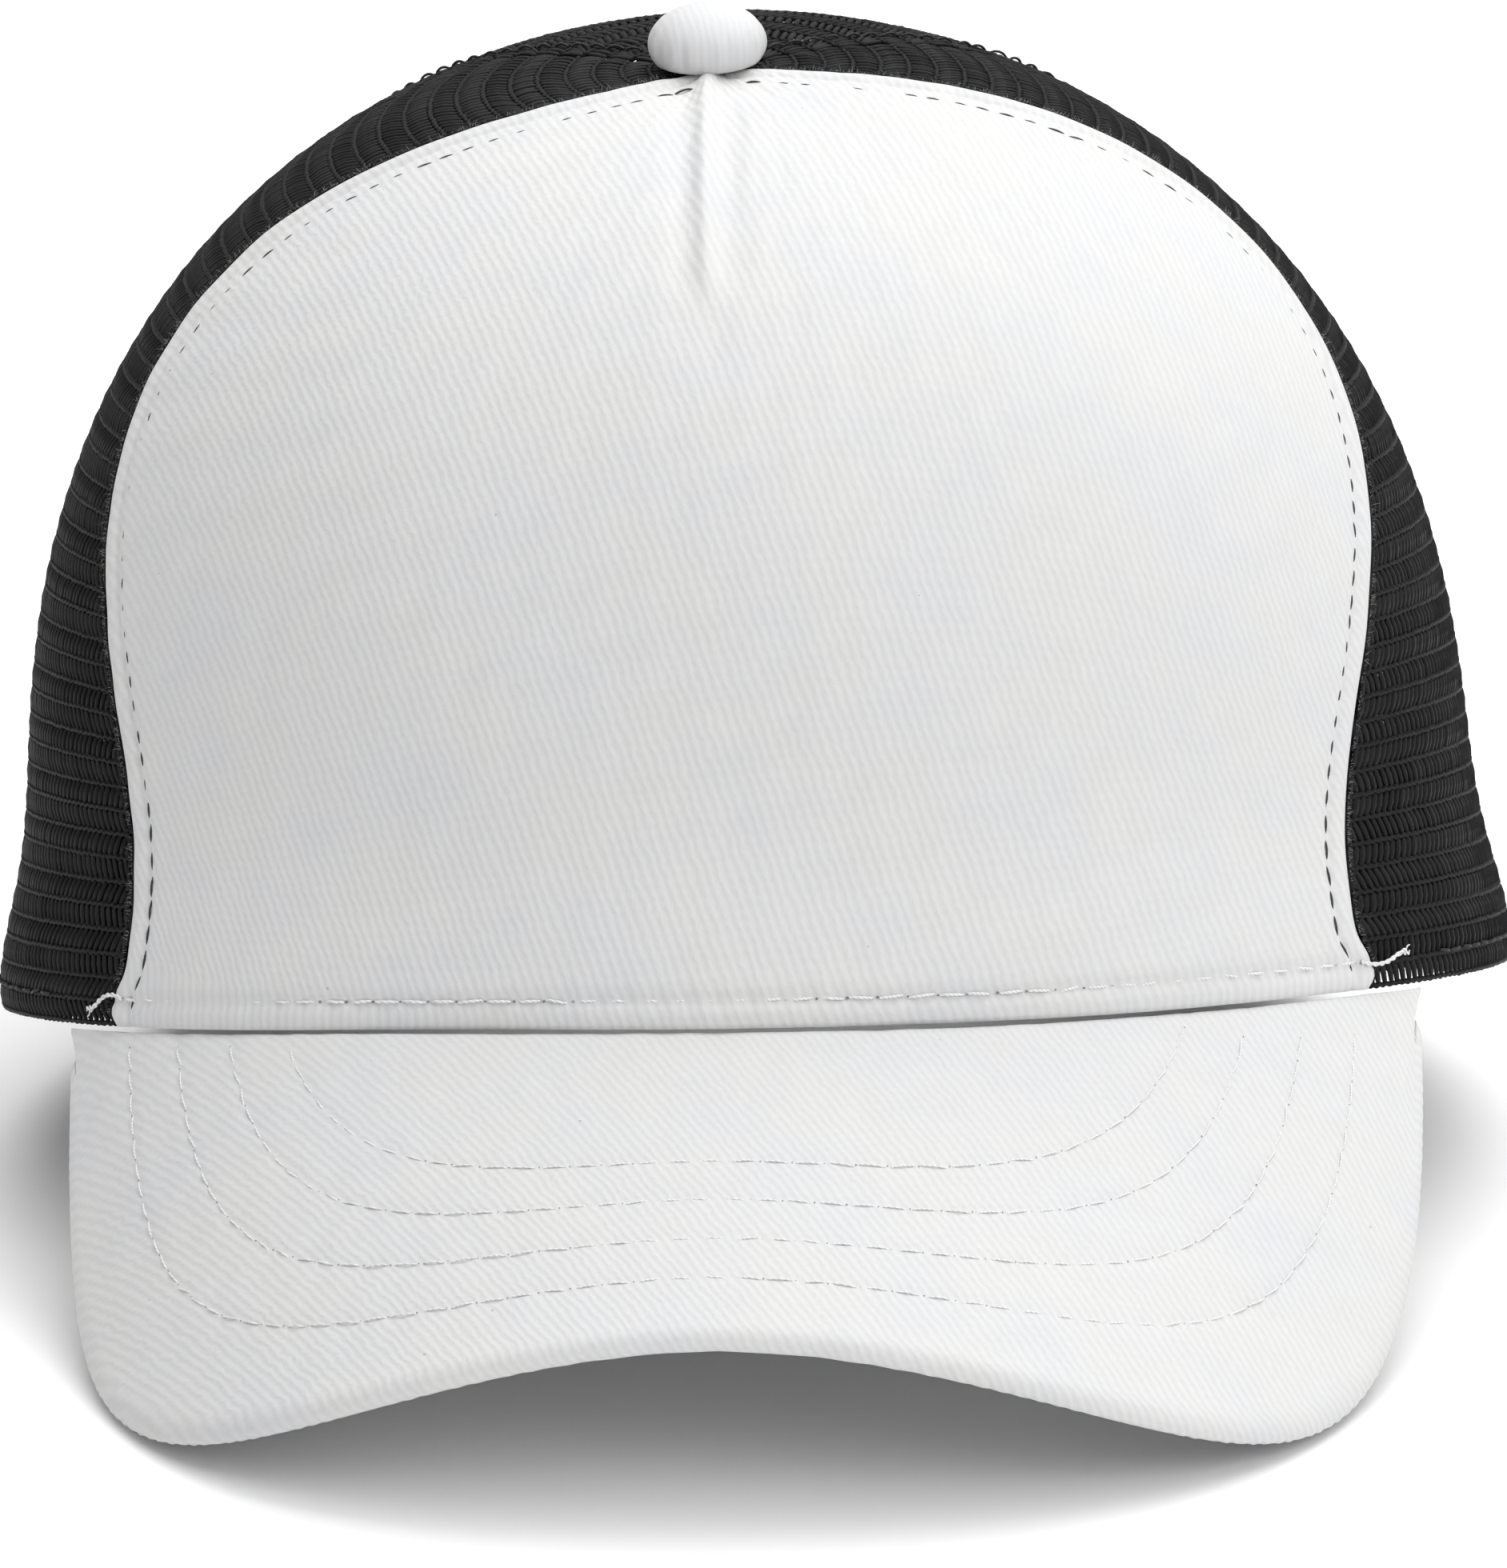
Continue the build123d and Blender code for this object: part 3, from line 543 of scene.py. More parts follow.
def tape_material(name, base, pitch=1.0, relief=0.00012, rough=0.8):
    """Woven tape: fine cross ribs and slight unevenness."""
    n = Nodes(name)
    uv = n.cloth_place()
    across, along = n.split(uv)[:2]
    rib = n.math("SINE", n.mul(along, 2 * pi / pitch))
    cross = n.math("SINE", n.mul(across, 2 * pi / (pitch * 0.6)))
    height = n.plus(n.mul(n.mul(rib, cross), 0.4), n.noise(uv, 3.0, 3.0, 0.6))
    worn = n.noise(uv, 0.12, 3.0, 0.5)
    # The colour is darker where the weave's height dips: painted shade.
    colour = n.scaled(grey(base), n.mul(n.line(height, 0.35, 0.72), n.line(worn, 0.3, 0.85)))
    n.shade(Base_Color=colour, Roughness=rough, Specular_IOR_Level=0.25, Sheen_Weight=0.08,
            Sheen_Roughness=0.45, Normal=n.bump(height, relief))
    return n.material


def thread_material(name, base, rough=0.55):
    n = Nodes(name)
    at = n.object_place()
    ply = n.add("ShaderNodeTexWave", {"Vector": at, "Scale": 900.0, "Distortion": 3.0, "Detail": 1.0},
                bands_direction="DIAGONAL").outputs["Fac"]
    colour = n.scaled(grey(base), n.line(ply, 0.28, 0.8))
    n.shade(Base_Color=colour, Roughness=rough, Specular_IOR_Level=0.35, Sheen_Weight=0.1,
            Sheen_Roughness=0.4, Normal=n.bump(ply, 0.00004, 0.6))
    return n.material


def plastic_material(name, base, rough):
    """Moulded plastic with a faint grain, tiny scuffs and uneven gloss."""
    n = Nodes(name)
    at = n.object_place()
    fine, broad = n.noise(at, 2600.0, 3.0), n.noise(at, 90.0, 3.0)
    colour = n.scaled(grey(base), n.line(broad, 0.16, 0.92))
    gloss = n.line(broad, 0.18, rough - 0.09)
    n.shade(Base_Color=colour, Roughness=gloss, Specular_IOR_Level=0.5,
            Normal=n.bump(fine, 0.00002, 0.7))
    return n.material


def metal_material():
    n = Nodes("pressed_tin")
    at = n.object_place()
    marks = n.noise(n.stretch(at, (1.0, 1.0, 9.0)), 700.0, 4.0, 0.6)
    colour = n.mix(marks, (0.50, 0.50, 0.51, 1), (0.66, 0.66, 0.67, 1))
    n.shade(Base_Color=colour, Metallic=1.0, Roughness=n.line(marks, 0.2, 0.28),
            Normal=n.bump(marks, 0.00002, 0.6))
    return n.material


WHITE_TWILL = twill("white_twill", WHITE, pitch=1.3)
VISOR_TWILL = twill("visor_twill", WHITE, angle=30.0)
BUTTON_TWILL = twill("button_twill", WHITE, pitch=1.0, angle=12.0, contrast=0.07, relief=0.00004,
                     specks=False)
LINING = tape_material("buckram_weave", 0.62, 1.5, 0.00015, 0.95)
NET = net_material()
BLACK_TAPE = tape_material("black_tape_weave", 0.016)
BAND_CLOTH = twill("band_cloth", 0.021, pitch=0.8, contrast=0.3, fuzz=0.4, specks=False)
FOAM = tape_material("foam_skin", 0.55, 2.2, 0.0001, 0.95)
LABEL = tape_material("label_satin", 0.72, 0.5, 0.00003, 0.5)
WHITE_THREAD = thread_material("white_thread", 0.80)
DARK_THREAD = thread_material("dark_thread", 0.035)
BLACK_THREAD = thread_material("black_thread", 0.014)
NET_FIBRE = thread_material("net_fibre", 0.030)
LINT = thread_material("white_lint", 0.34)


# ---------------------------------------------------------------- paths on the crown
def reach_at(azimuth, climb):
    return hem_radius(azimuth) * (1 - climb)


def on_crown(azimuth, climb, out):
    """Points standing out from the crown by this much, and the crown's outward normals there."""
    base = crown(azimuth, climb, 0.0)
    normal = unit(base - crown(azimuth, climb, 1.0))
    return base + normal * np.broadcast_to(out, base.shape[:-1])[..., None], normal


def panel_grid(left, right, columns, climb, inset=0.0, crowd=0.0):
    """Azimuth and climb of a grid between two seams; crowd packs columns at edges and middle."""
    gap = (SEAM_GAP / 2 + inset) / reach_at(left(climb), climb)
    start, end = left(climb) + gap, right(climb) - gap
    share = np.linspace(0, 1, columns)
    share = share - crowd * np.sin(4 * pi * share)
    azimuth = start[:, None] + (end - start)[:, None] * share
    return azimuth, np.broadcast_to(climb[:, None], azimuth.shape)


def waves(u, v, size, count=6, seed=1):
    """Smooth seeded unevenness between about -1 and 1."""
    pick = np.random.default_rng(seed)
    total = 0.0
    for _ in range(count):
        angle, phase, stretch = pick.uniform(0, 2 * pi), pick.uniform(0, 2 * pi), pick.uniform(0.6, 1.7)
        total = total + np.sin((u * cos(angle) + v * sin(angle)) * 2 * pi / (size * stretch) + phase)
    return total / count**0.5 / 1.2


# ---------------------------------------------------------------- white front panel
def front_relief(azimuth, climb, from_side, from_hem):
    """How far the cloth stands out: the dart's pinched ridge, the folded edges and slack."""
    across = crown_raw(azimuth, climb)[..., 0] - crown_raw(0 * azimuth, climb)[..., 0]
    grown = smooth_step(climb, DART_END - DART_FADE, DART_END + DART_FADE)
    ridge = 0.85 * swell(across, 0, 1.25) - 0.40 * swell(np.abs(across), 3.2, 2.0)
    dimple = -0.35 * np.exp(-((across / 4.0) ** 2) - ((climb - DART_END + 0.045) / 0.03) ** 2)
    edge = 0.34 * swell(from_side, 1.7, 1.2) - 0.30 * swell(from_side, PANEL_STITCH, 0.5)
    edge = edge + 0.10 * swell(from_side, 5.6, 1.4) - 0.30 * swell(from_side, 0, 0.35)
    hem = 0.26 * swell(from_hem, 1.7, 1.3) - 0.30 * swell(from_hem, BRIM_STITCH, 0.55)
    hem = hem + 0.12 * swell(from_hem, 5.6, 1.4)
    u, v = azimuth * 85, climb * CLIMB_LENGTH
    calm = smooth_step(from_side, 0, 14) * (1 - 0.6 * grown)
    slack = 0.30 * waves(u, v, 46, seed=3) * calm + 0.07 * waves(u, v, 9, seed=5)
    pucker = 0.09 * np.sin(from_hem * 0.3 + u * 2 * pi / 3.9) * swell(from_hem, BRIM_STITCH, 2.4)
    pucker = pucker + 0.07 * np.sin(v * 2 * pi / 3.1) * swell(from_side, PANEL_STITCH, 1.4)
    return ridge * grown + dimple + edge + hem + slack + pucker


def front_uv(points):
    """Flat place on the front panel: across it, and up over the top along its middle."""
    turned = np.arctan2(points[..., 2] - CENTRE_HEIGHT, -points[..., 1])
    middle = points[:, points.shape[1] // 2]
    up = np.interp(turned, turned[:, points.shape[1] // 2], lengths_along(middle[:, None], 0)[:, 0])
    across = ARC_RADIUS * np.arcsin(np.clip(points[..., 0] / ARC_RADIUS, -0.97, 0.97))
    return np.stack([across, up], -1)


def front_panel():
    climb = np.linspace(0, POLE_CLIMB, 199)
    azimuth, climbs = panel_grid(FRONT_LEFT, FRONT_RIGHT, 239, climb, crowd=0.045)
    plain = crown(azimuth, climbs)
    along = lengths_along(plain, 1)
    from_side = np.minimum(along, along[:, -1:] - along)
    from_hem = lengths_along(plain, 0)
    out = front_relief(azimuth, climbs, from_side, from_hem)
    # The cloth is turned under along the seams, so its face rolls off at the edge.
    outer = crown(azimuth, climbs, -out)
    inner = crown(azimuth, climbs, TWILL[1] - 0.15 * out)
    return cloth("front_panel_cloth", outer, inner, front_uv(plain), WHITE_TWILL, "front_panel",
                 "white_twill")


def front_buckram():
    climb = np.linspace(0.02, 0.86, 60)
    azimuth, climbs = panel_grid(FRONT_LEFT, FRONT_RIGHT, 70, climb, inset=3.0)
    outer, inner = crown(azimuth, climbs, BUCKRAM[0] + 0.12), crown(azimuth, climbs, BUCKRAM[1])
    return cloth("front_buckram_lining", outer, inner, cloth_uv(outer), LINING, "front_buckram", "buckram")


# ---------------------------------------------------------------- warp-knit net
def in_arch(azimuth, climb, grow):
    """Whether a point of the crown lies in the opening at the back, grown by this much."""
    p = dome_at(azimuth, climb)
    half, top = ARCH_HALF_WIDTH + grow, ARCH_HEIGHT + grow - ARCH_SPRING
    above = np.maximum(p[..., 2] - ARCH_SPRING, 0) / top
    return (np.hypot(p[..., 0] / half, above) < 1) & (p[..., 1] > 0)


def ring_points(centre, along, normal, wide, thick):
    """Flattened rings round centre points; wide lies in the cloth and thick stands out."""
    side = unit(np.cross(normal, along))
    turn = circle(STRAND_SIDES)[:, None]
    a = side[..., None, :] * (np.cos(turn) * wide[..., None, None])
    b = normal[..., None, :] * (np.sin(turn) * thick[..., None, None])
    return centre[..., None, :] + a + b


def strand_faces(rings):
    """Walls and pointed ends of a strand: its first tip, its five-sided rings, and its last tip."""
    i = np.arange(STRAND_SIDES)
    j = (i + 1) % STRAND_SIDES
    first = 1 + np.arange(rings - 1)[:, None, None] * STRAND_SIDES
    last = 1 + (rings - 1) * STRAND_SIDES
    walls = (first + np.stack([i, j, j + STRAND_SIDES, i + STRAND_SIDES], -1)).reshape(-1, 4)
    root = np.stack([0 * i, 1 + j, 1 + i], -1)
    tip = np.stack([0 * i + last + STRAND_SIDES, last + i, last + j], -1)
    return walls, np.concatenate([root, tip])


def net_panel(node, left, right, seed, arch=False):
    """Slanted bars between courses of knots, leaning the other way in each next course."""
    pick = np.random.default_rng(seed)
    courses = int(round(CLIMB_LENGTH * POLE_CLIMB / COURSE))
    climb = np.linspace(0.001, POLE_CLIMB, courses + 1)
    azimuth, climbs = panel_grid(left, right, 61, climb)
    run = lengths_along(crown(azimuth, climbs, NET_MIDDLE), 1)
    run = run - run[:, 30:31]
    points, quads, triangles, uvs, base = [], [], [], [], 0

    def at(k, u):
        return np.interp(u, run[k], azimuth[k])

    for k in range(courses):
        edge = max(-run[k, 0], run[k, -1], -run[k + 1, 0], run[k + 1, -1])
        number = int(edge / WALE) + 2
        u = np.arange(-number, number + 1) * WALE
        u0, u1 = (u, u + WALE) if k % 2 else (u + WALE, u)
        low, high = run[k, [0, -1]], run[k + 1, [0, -1]]
        inside = ((u0 > low[0]) & (u0 < low[1])) | ((u1 > high[0]) & (u1 < high[1]))
        # Bars that meet a seam are caught in it.
        u0, u1 = np.clip(u0, *low), np.clip(u1, *high)
        if arch:
            middle = at(k, u0) / 2 + at(k + 1, u1) / 2
            inside &= ~in_arch(middle, (climb[k] + climb[k + 1]) / 2, 2.4)
        u0, u1 = u0[inside], u1[inside]
        n = len(u0)
        if not n:
            continue
        share = np.array([-0.12, 0.16, 0.5, 0.84, 1.12])
        ease = np.array([-0.02, 0.10, 0.5, 0.90, 1.02])
        az = at(k, u0)[:, None] * (1 - ease) + at(k + 1, u1)[:, None] * ease
        cl = np.broadcast_to(climb[k] * (1 - share) + climb[k + 1] * share, az.shape)
        lift = np.array([0.22, 0.03, -0.05, 0.03, 0.22]) + pick.normal(0, 0.03, (n, 1))
        centre = crown(az, cl, NET_MIDDLE + lift)
        normal = unit(crown(az, cl, 0.0) - crown(az, cl, 1.0))
        along = unit(np.gradient(centre, axis=1))
        open_up = 1 + 0.16 * waves(u0, np.full(n, k * COURSE), 21, seed=seed + 7)
        closer = 1.18 if k % 2 else 1.0
        girth = np.clip(open_up + pick.normal(0, 0.07, n), 0.6, 1.25) * closer
        wide = np.outer(girth, [0.44, 0.53, 0.44])
        thick = np.broadcast_to([0.30, 0.34, 0.30], wide.shape)
        rings = ring_points(centre[:, 1:4], along[:, 1:4], normal[:, 1:4], wide, thick)
        block = np.concatenate([centre[:, :1], rings.reshape(n, -1, 3), centre[:, 4:]], axis=1)
        size = block.shape[1]
        points.append(block.reshape(-1, 3))
        start = base + np.arange(n)[:, None, None] * size
        walls, ends = strand_faces(3)
        quads.append((start + walls).reshape(-1, 4))
        triangles.append((start + ends).reshape(-1, 3))
        v = np.concatenate([[0], np.repeat(share[1:4], STRAND_SIDES), [1]]) * COURSE + k * COURSE
        across = np.concatenate([[0], np.tile(np.cos(circle(STRAND_SIDES)), 3) * 0.5, [0]])
        uvs.append(np.stack([u0[:, None] + across, np.broadcast_to(v, (n, size))], -1).reshape(-1, 2))
        base += n * size

    for k in range(courses + 1):
        u = np.arange(run[k, 0], run[k, -1], WALE / 2)
        if len(u) < 4:
            continue
        az = at(k, u)
        keep = ~in_arch(az, climb[k], 1.6) if arch else np.ones(len(u), bool)
        for part in np.split(np.arange(len(u)), np.flatnonzero(np.diff(keep.astype(int))) + 1):
            if not keep[part[0]] or len(part) < 4:
                continue
            n = len(part)
            zigzag = 0.0018 * (np.arange(n) % 2 - 0.5) + pick.normal(0, 0.0003, n)
            cl = np.clip(climb[k] + zigzag, 0.0005, POLE_CLIMB)
            centre = crown(az[part], cl, NET_MIDDLE - 0.06 * (np.arange(n) % 2))
            normal = unit(crown(az[part], cl, 0.0) - crown(az[part], cl, 1.0))
            along = unit(np.gradient(centre, axis=0))
            wide = np.full(n, 0.36) * (1 + pick.normal(0, 0.10, n))
            rings = ring_points(centre, along, normal, wide, np.full(n, 0.27))
            block = np.concatenate([centre[:1], rings.reshape(-1, 3), centre[-1:]])
            points.append(block)
            walls, ends = strand_faces(n)
            quads.append(base + walls)
            triangles.append(base + ends)
            turn = np.tile(np.cos(circle(STRAND_SIDES)) * 0.45, (n, 1))
            u_part = np.broadcast_to(u[part][:, None], turn.shape)
            uv = np.stack([u_part, turn + 1.5 * COURSE], -1).reshape(-1, 2)
            uvs.append(np.concatenate([uv[:1], uv, uv[-1:]]))
            base += len(block)
    faces = [np.concatenate(quads), np.concatenate(triangles)]
    piece = make_mesh(f"{node}_net", np.concatenate(points), faces, np.concatenate(uvs), NET)
    settle_piece(piece, node)


# ---------------------------------------------------------------- inside the crown
def band_grid(start, end, low, high, columns, rows):
    azimuth = np.linspace(start, end, columns)
    base, top = climb_at(azimuth, low), climb_at(azimuth, high)
    share = np.linspace(0, 1, rows)[:, None]
    return np.broadcast_to(azimuth, (rows, columns)), base + (top - base) * share


def sweatband():
    reach = pi - BAND_END_ARC / hem_radius(pi)
    azimuth, climb = band_grid(-reach, reach, 1.0, SWEATBAND_HEIGHT, 300, 24)
    u, v = azimuth * MEAN_RADIUS, climb * CLIMB_LENGTH
    ripple = 0.22 * waves(u, v, 24, seed=11) - 0.25 * swell(v - v[-1:], -3.0, 0.8)
    roll = -0.35 * swell(v, v[:1], 1.4)
    inner = crown(azimuth, climb, SWEATBAND[1] + ripple + roll)
    outer = crown(azimuth, climb, SWEATBAND[0] + 0.6 * ripple - roll)
    return cloth("sweatband_cloth", outer, inner, cloth_uv(inner), BAND_CLOTH, "sweatband",
                 "sweatband_cloth")


def band_padding():
    azimuth, climb = band_grid(-radians(50), radians(50), 4.0, SWEATBAND_HEIGHT - 4.0, 90, 16)
    share = np.linspace(-1, 1, 16)[:, None]
    crowned = (1 - share**6) * 0.5
    outer = crown(azimuth, climb, BAND_PADDING[0] + 0.5 - crowned)
    inner = crown(azimuth, climb, BAND_PADDING[1] - 0.5 + crowned)
    return cloth("band_padding_foam", outer, inner, cloth_uv(outer), FOAM, "band_padding", "band_foam")


def care_label():
    reach = pi - BAND_END_ARC / hem_radius(pi)
    azimuth, climb = band_grid(reach - 0.42, reach - 0.14, 6.0, 36.0, 40, 46)
    curl = 0.5 * smooth_step(climb, climb[20, 0], climb[-1, 0])
    lift = np.abs(curl + 0.15 * waves(azimuth * MEAN_RADIUS, climb * CLIMB_LENGTH, 14, seed=2))
    outer, inner = crown(azimuth, climb, 7.1 + lift), crown(azimuth, climb, 7.4 + lift)
    return cloth("care_label_cloth", outer, inner, cloth_uv(outer), LABEL, "care_label", "label_cloth")


def seam_tape(name, seam, side, low, high):
    climb = np.linspace(low, high, 90)
    middle = seam(side, climb)
    spread = SEAM_TAPE_WIDTH / 2 / (hem_radius(middle) * (1 - climb) + 4.0)
    share = np.linspace(-1, 1, 13)
    azimuth = middle[:, None] + spread[:, None] * share
    climbs = np.broadcast_to(climb[:, None], azimuth.shape)
    crease = 0.22 * swell(np.abs(share), TAPE_STITCH_SHARE, 0.10) - 0.10 * (1 - share**2)
    outer = crown(azimuth, climbs, SEAM_TAPE[0])
    inner = crown(azimuth, climbs, SEAM_TAPE[1] - crease)
    piece = cloth(name + "_cloth", outer, inner, cloth_uv(inner), BLACK_TAPE, name, "black_tape")
    for edge, row in ((-1, "a"), (1, "b")):
        line = middle + edge * TAPE_STITCH_SHARE * spread
        path, normal = on_crown(line, climb, -SEAM_TAPE[1] + 0.2)
        stitches(f"{name}_stitches_{row}", path, -normal, 3.0, 0.17, BLACK_THREAD)
    return piece


def rear_raw(x, z):
    azimuth, latitude = pi - x / DOME_REAR, (z - CENTRE_HEIGHT) / DOME_REAR
    for _ in range(25):
        p = dome(direction(azimuth, latitude))
        azimuth = azimuth - (x - p[..., 0]) / DOME_REAR * 0.8
        latitude = latitude + (z - p[..., 2]) / DOME_REAR * 0.8
    return settle(p)


def rear_point(x, z, depth):
    across = rear_raw(x + 0.5, z) - rear_raw(x - 0.5, z)
    upward = rear_raw(x, z + 0.5) - rear_raw(x, z - 0.5)
    normal = unit(np.cross(across, upward))
    return rear_raw(x, z) + normal * np.broadcast_to(depth, x.shape)[..., None], -normal


def arch_line(share, grow):
    half, top, leg = ARCH_HALF_WIDTH + grow, ARCH_HEIGHT + grow - ARCH_SPRING, 0.09
    angle = pi * np.clip((share - leg) / (1 - 2 * leg), 0, 1)
    foot = np.minimum(np.minimum(share, 1 - share) / leg, 1)
    return -half * np.cos(angle), ARCH_SPRING * foot + top * np.sin(angle)


def arch_binding():
    share = np.linspace(0, 1, 181)[:, None]
    middle = (MESH[0] + MESH[1]) / 2
    grids = []
    for radius in (BINDING_BEND, BINDING_BEND - BINDING_THICKNESS):
        straight = np.linspace(BINDING_WIDTH, BINDING_BEND, 8)
        bend = np.linspace(pi / 2, 3 * pi / 2, 11)[1:-1]
        grow = np.concatenate([straight, BINDING_BEND + radius * np.cos(bend), straight[::-1]])
        depth = np.concatenate([0 * straight + middle - radius, middle - radius * np.sin(bend),
                                0 * straight + middle + radius])
        pressed = swell(grow, BINDING_STITCH, 0.7) * np.sign(middle - depth) * 0.12
        x, z = arch_line(share, grow)
        p, _ = rear_point(x, z, np.broadcast_to(depth + pressed, x.shape))
        grids.append(p)
    piece = cloth("rear_arch_binding_cloth", *grids, cloth_uv(grids[0]), BLACK_TAPE, "rear_arch_binding",
                  "black_tape")
    for name, side, depth in (("outside", -1, middle - BINDING_BEND), ("inside", 1, middle + BINDING_BEND)):
        x, z = arch_line(np.linspace(0.005, 0.995, 240), BINDING_STITCH)
        path, inward = rear_point(x, z, np.full(x.shape, depth + side * 0.05))
        stitches(f"arch_stitches_{name}", path, -inward * side, 2.8, 0.18, BLACK_THREAD)
    return piece


# ---------------------------------------------------------------- stitching on the crown
def needle_holes(name, path, normal, pitch, radius=0.16):
    """Small dents where the needle went through, coloured dark as painted shade."""
    run = length_run(path)
    at = np.arange(0, run[-1], pitch) + 0.02
    centre, up = sample(at, run, path), unit(sample(at, run, normal))
    along = unit(sample(at, run, np.gradient(path, axis=0)))
    side = np.cross(up, along)
    turn = circle(8)[:, None]
    size = radius * (1 + rng.normal(0, 0.2, len(at)))[:, None, None]
    oval = along[:, None] * np.cos(turn) * 1.25 + side[:, None] * np.sin(turn)
    block = np.concatenate([centre[:, None] + oval * size, (centre - up * 0.15)[:, None]], axis=1)
    i = np.arange(8)
    fan = np.stack([i, (i + 1) % 8, 0 * i + 8], -1)
    triangles = (np.arange(len(at))[:, None, None] * 9 + fan).reshape(-1, 3)
    piece = make_mesh(name, block.reshape(-1, 3), triangles, None, HOLE_SHADE)
    return settle_piece(piece, None)


def thread_tail(name, side, edge, reach, sway):
    """Loose end of the brim's thread on the net: two plies that lie round each other, then part."""
    t = np.linspace(0, 1, 70)
    azimuth = side * (edge - 0.012 + reach * t)
    height = BRIM_STITCH + sway[0] * np.sin(pi * np.minimum(t / 0.7, 1)) + sway[1] * t**2
    path, normal = on_crown(azimuth, climb_at(azimuth, height), 0.0)
    along = unit(np.gradient(path, axis=0))
    across = np.cross(normal, along)
    lift = 0.30 + 0.35 * np.sin(pi * t)
    for ply, phase in (("a", 0.0), ("b", pi)):
        apart = 0.15 + 0.45 * smooth_step(t, 0.72, 1.0)
        turn = t * 26 + phase
        twisted = across * (apart * np.cos(turn * (1 - 0.5 * smooth_step(t, 0.7, 1))))[:, None]
        twisted = twisted + normal * (lift + 0.13 * np.sin(turn))[:, None]
        thin = 0.17 * (1 - 0.45 * smooth_step(t, 0.8, 1.0))
        settle_piece(tube(f"{name}_{ply}", path + twisted, thin, WHITE_THREAD, 7), None)


def crown_stitching():
    for side, name in BOTH_SIDES:
        climb = np.linspace(0.006, 0.955, 400)
        seam = front_seam(side, climb)
        azimuth = seam - side * (SEAM_GAP / 2 + PANEL_STITCH) / reach_at(seam, climb)
        turn_in = side * 0.030 * np.exp(-climb / 0.012)
        path, normal = on_crown(azimuth - turn_in, climb, 0.0)
        stitches(f"panel_edge_stitches_{name}", path, normal, 3.4, 0.16, DARK_THREAD,
                 share=0.86, sink=0.16)
        climb = np.linspace(0.01, 0.95, 300)
        seam = side_seam(side, climb)
        path, normal = on_crown(seam + side * 1.8 / reach_at(seam, climb), climb, -0.25)
        stitches(f"side_seam_stitches_{name}", path, normal, 3.0, 0.2, BLACK_THREAD)
    edge = FRONT_SEAM_AZIMUTH + 0.018
    azimuth = np.linspace(-edge, edge, 400)
    climb = climb_at(azimuth, BRIM_STITCH)
    path, normal = on_crown(azimuth, climb, -0.12)
    stitches("brim_stitches", path, normal, 3.9, 0.20, WHITE_THREAD, share=0.80,
             sink=0.06)
    needle_holes("brim_needle_holes", path + normal * 0.03, normal, 3.9)
    thread_tail("brim_thread_tail_left", -1, edge, 0.080, (0.7, -2.0))
    thread_tail("brim_thread_tail_right", 1, edge, 0.105, (-0.6, 0.9))
    beside, behind = edge + 0.17, SIDE_SEAM_AZIMUTH + 0.55
    for start, end, name in ((-behind, -beside, "left"), (beside, behind, "right")):
        azimuth = np.linspace(start, end, 300)
        path, normal = on_crown(azimuth, climb_at(azimuth, BRIM_STITCH), -0.25)
        stitches(f"hem_stitches_{name}", path, normal, 3.4, 0.2, BLACK_THREAD)
    reach = pi - BAND_END_ARC / hem_radius(pi) - 0.01
    azimuth = np.linspace(-reach, reach, 700)
    climb = climb_at(azimuth, SWEATBAND_HEIGHT - 3.0)
    path, normal = on_crown(azimuth, climb, -SWEATBAND[1] + 0.15)
    stitches("sweatband_stitches", path, -normal, 3.4, 0.18, BLACK_THREAD)


def hairs(name, root, normal, away, count, length, material, seed):
    """Loose fibres: fine curved hairs that stand out of a line of cloth."""
    pick = np.random.default_rng(seed)
    at = pick.uniform(0, len(root) - 1.001, count)
    low, part = at.astype(int), (at % 1)[:, None]
    base = root[low] * (1 - part) + root[low + 1] * part
    out = normal[low]
    size = length * pick.uniform(0.35, 1.0, count)[:, None, None]
    heading = away[low] * pick.uniform(0.3, 1.0, (count, 1)) + out * pick.uniform(0.05, 0.7, (count, 1))
    heading = unit(heading + pick.normal(0, 0.35, (count, 3)))
    bend = pick.normal(0, 0.4, (count, 3))
    t = np.array([0, 0.4, 0.75, 1.0])
    centre = base[:, None] + (heading[:, None] * t[:, None] + bend[:, None] * (t**2)[:, None]) * size
    side = unit(np.cross(heading, out))
    turn = circle(3)[:, None]
    ring = side[:, None] * np.cos(turn) + np.cross(side, heading)[:, None] * np.sin(turn)
    girth = np.array([HAIR_RADIUS, HAIR_RADIUS, HAIR_RADIUS * 0.7])[:, None, None]
    rings = centre[:, :3, None] + ring[:, None] * girth
    block = np.concatenate([rings.reshape(count, 9, 3), centre[:, 3:]], axis=1)
    i = np.arange(3)
    j = (i + 1) % 3
    start = np.arange(count)[:, None, None] * 10
    walls = np.concatenate([np.stack([k + i, k + j, k + 3 + j, k + 3 + i], -1) for k in (0, 3)])
    ends = np.concatenate([np.stack([6 + i, 6 + j, 0 * i + 9], -1), np.array([[0, 2, 1]])])
    faces = [(start + walls).reshape(-1, 4), (start + ends).reshape(-1, 3)]
    return settle_piece(make_mesh(name, block.reshape(-1, 3), faces, None, material), None)


def seam_fibres():
    """Lint along the front panel's edges: white fibres on the net, and the net's own dark ones."""
    for side, name in BOTH_SIDES:
        climb = np.linspace(0.01, 0.97, 400)
        azimuth = front_seam(side, climb)
        root, normal = on_crown(azimuth, climb, -0.1)
        away = unit(crown(azimuth + side * 0.02, climb) - crown(azimuth - side * 0.02, climb))
        hairs(f"panel_edge_fibres_{name}", root, normal, away, 520, 0.75, LINT,
              seed=41 + side)
        hairs(f"net_edge_fibres_{name}", root + away * 0.8, normal, -away, 1100, 1.4, NET_FIBRE,
              seed=51 + side)


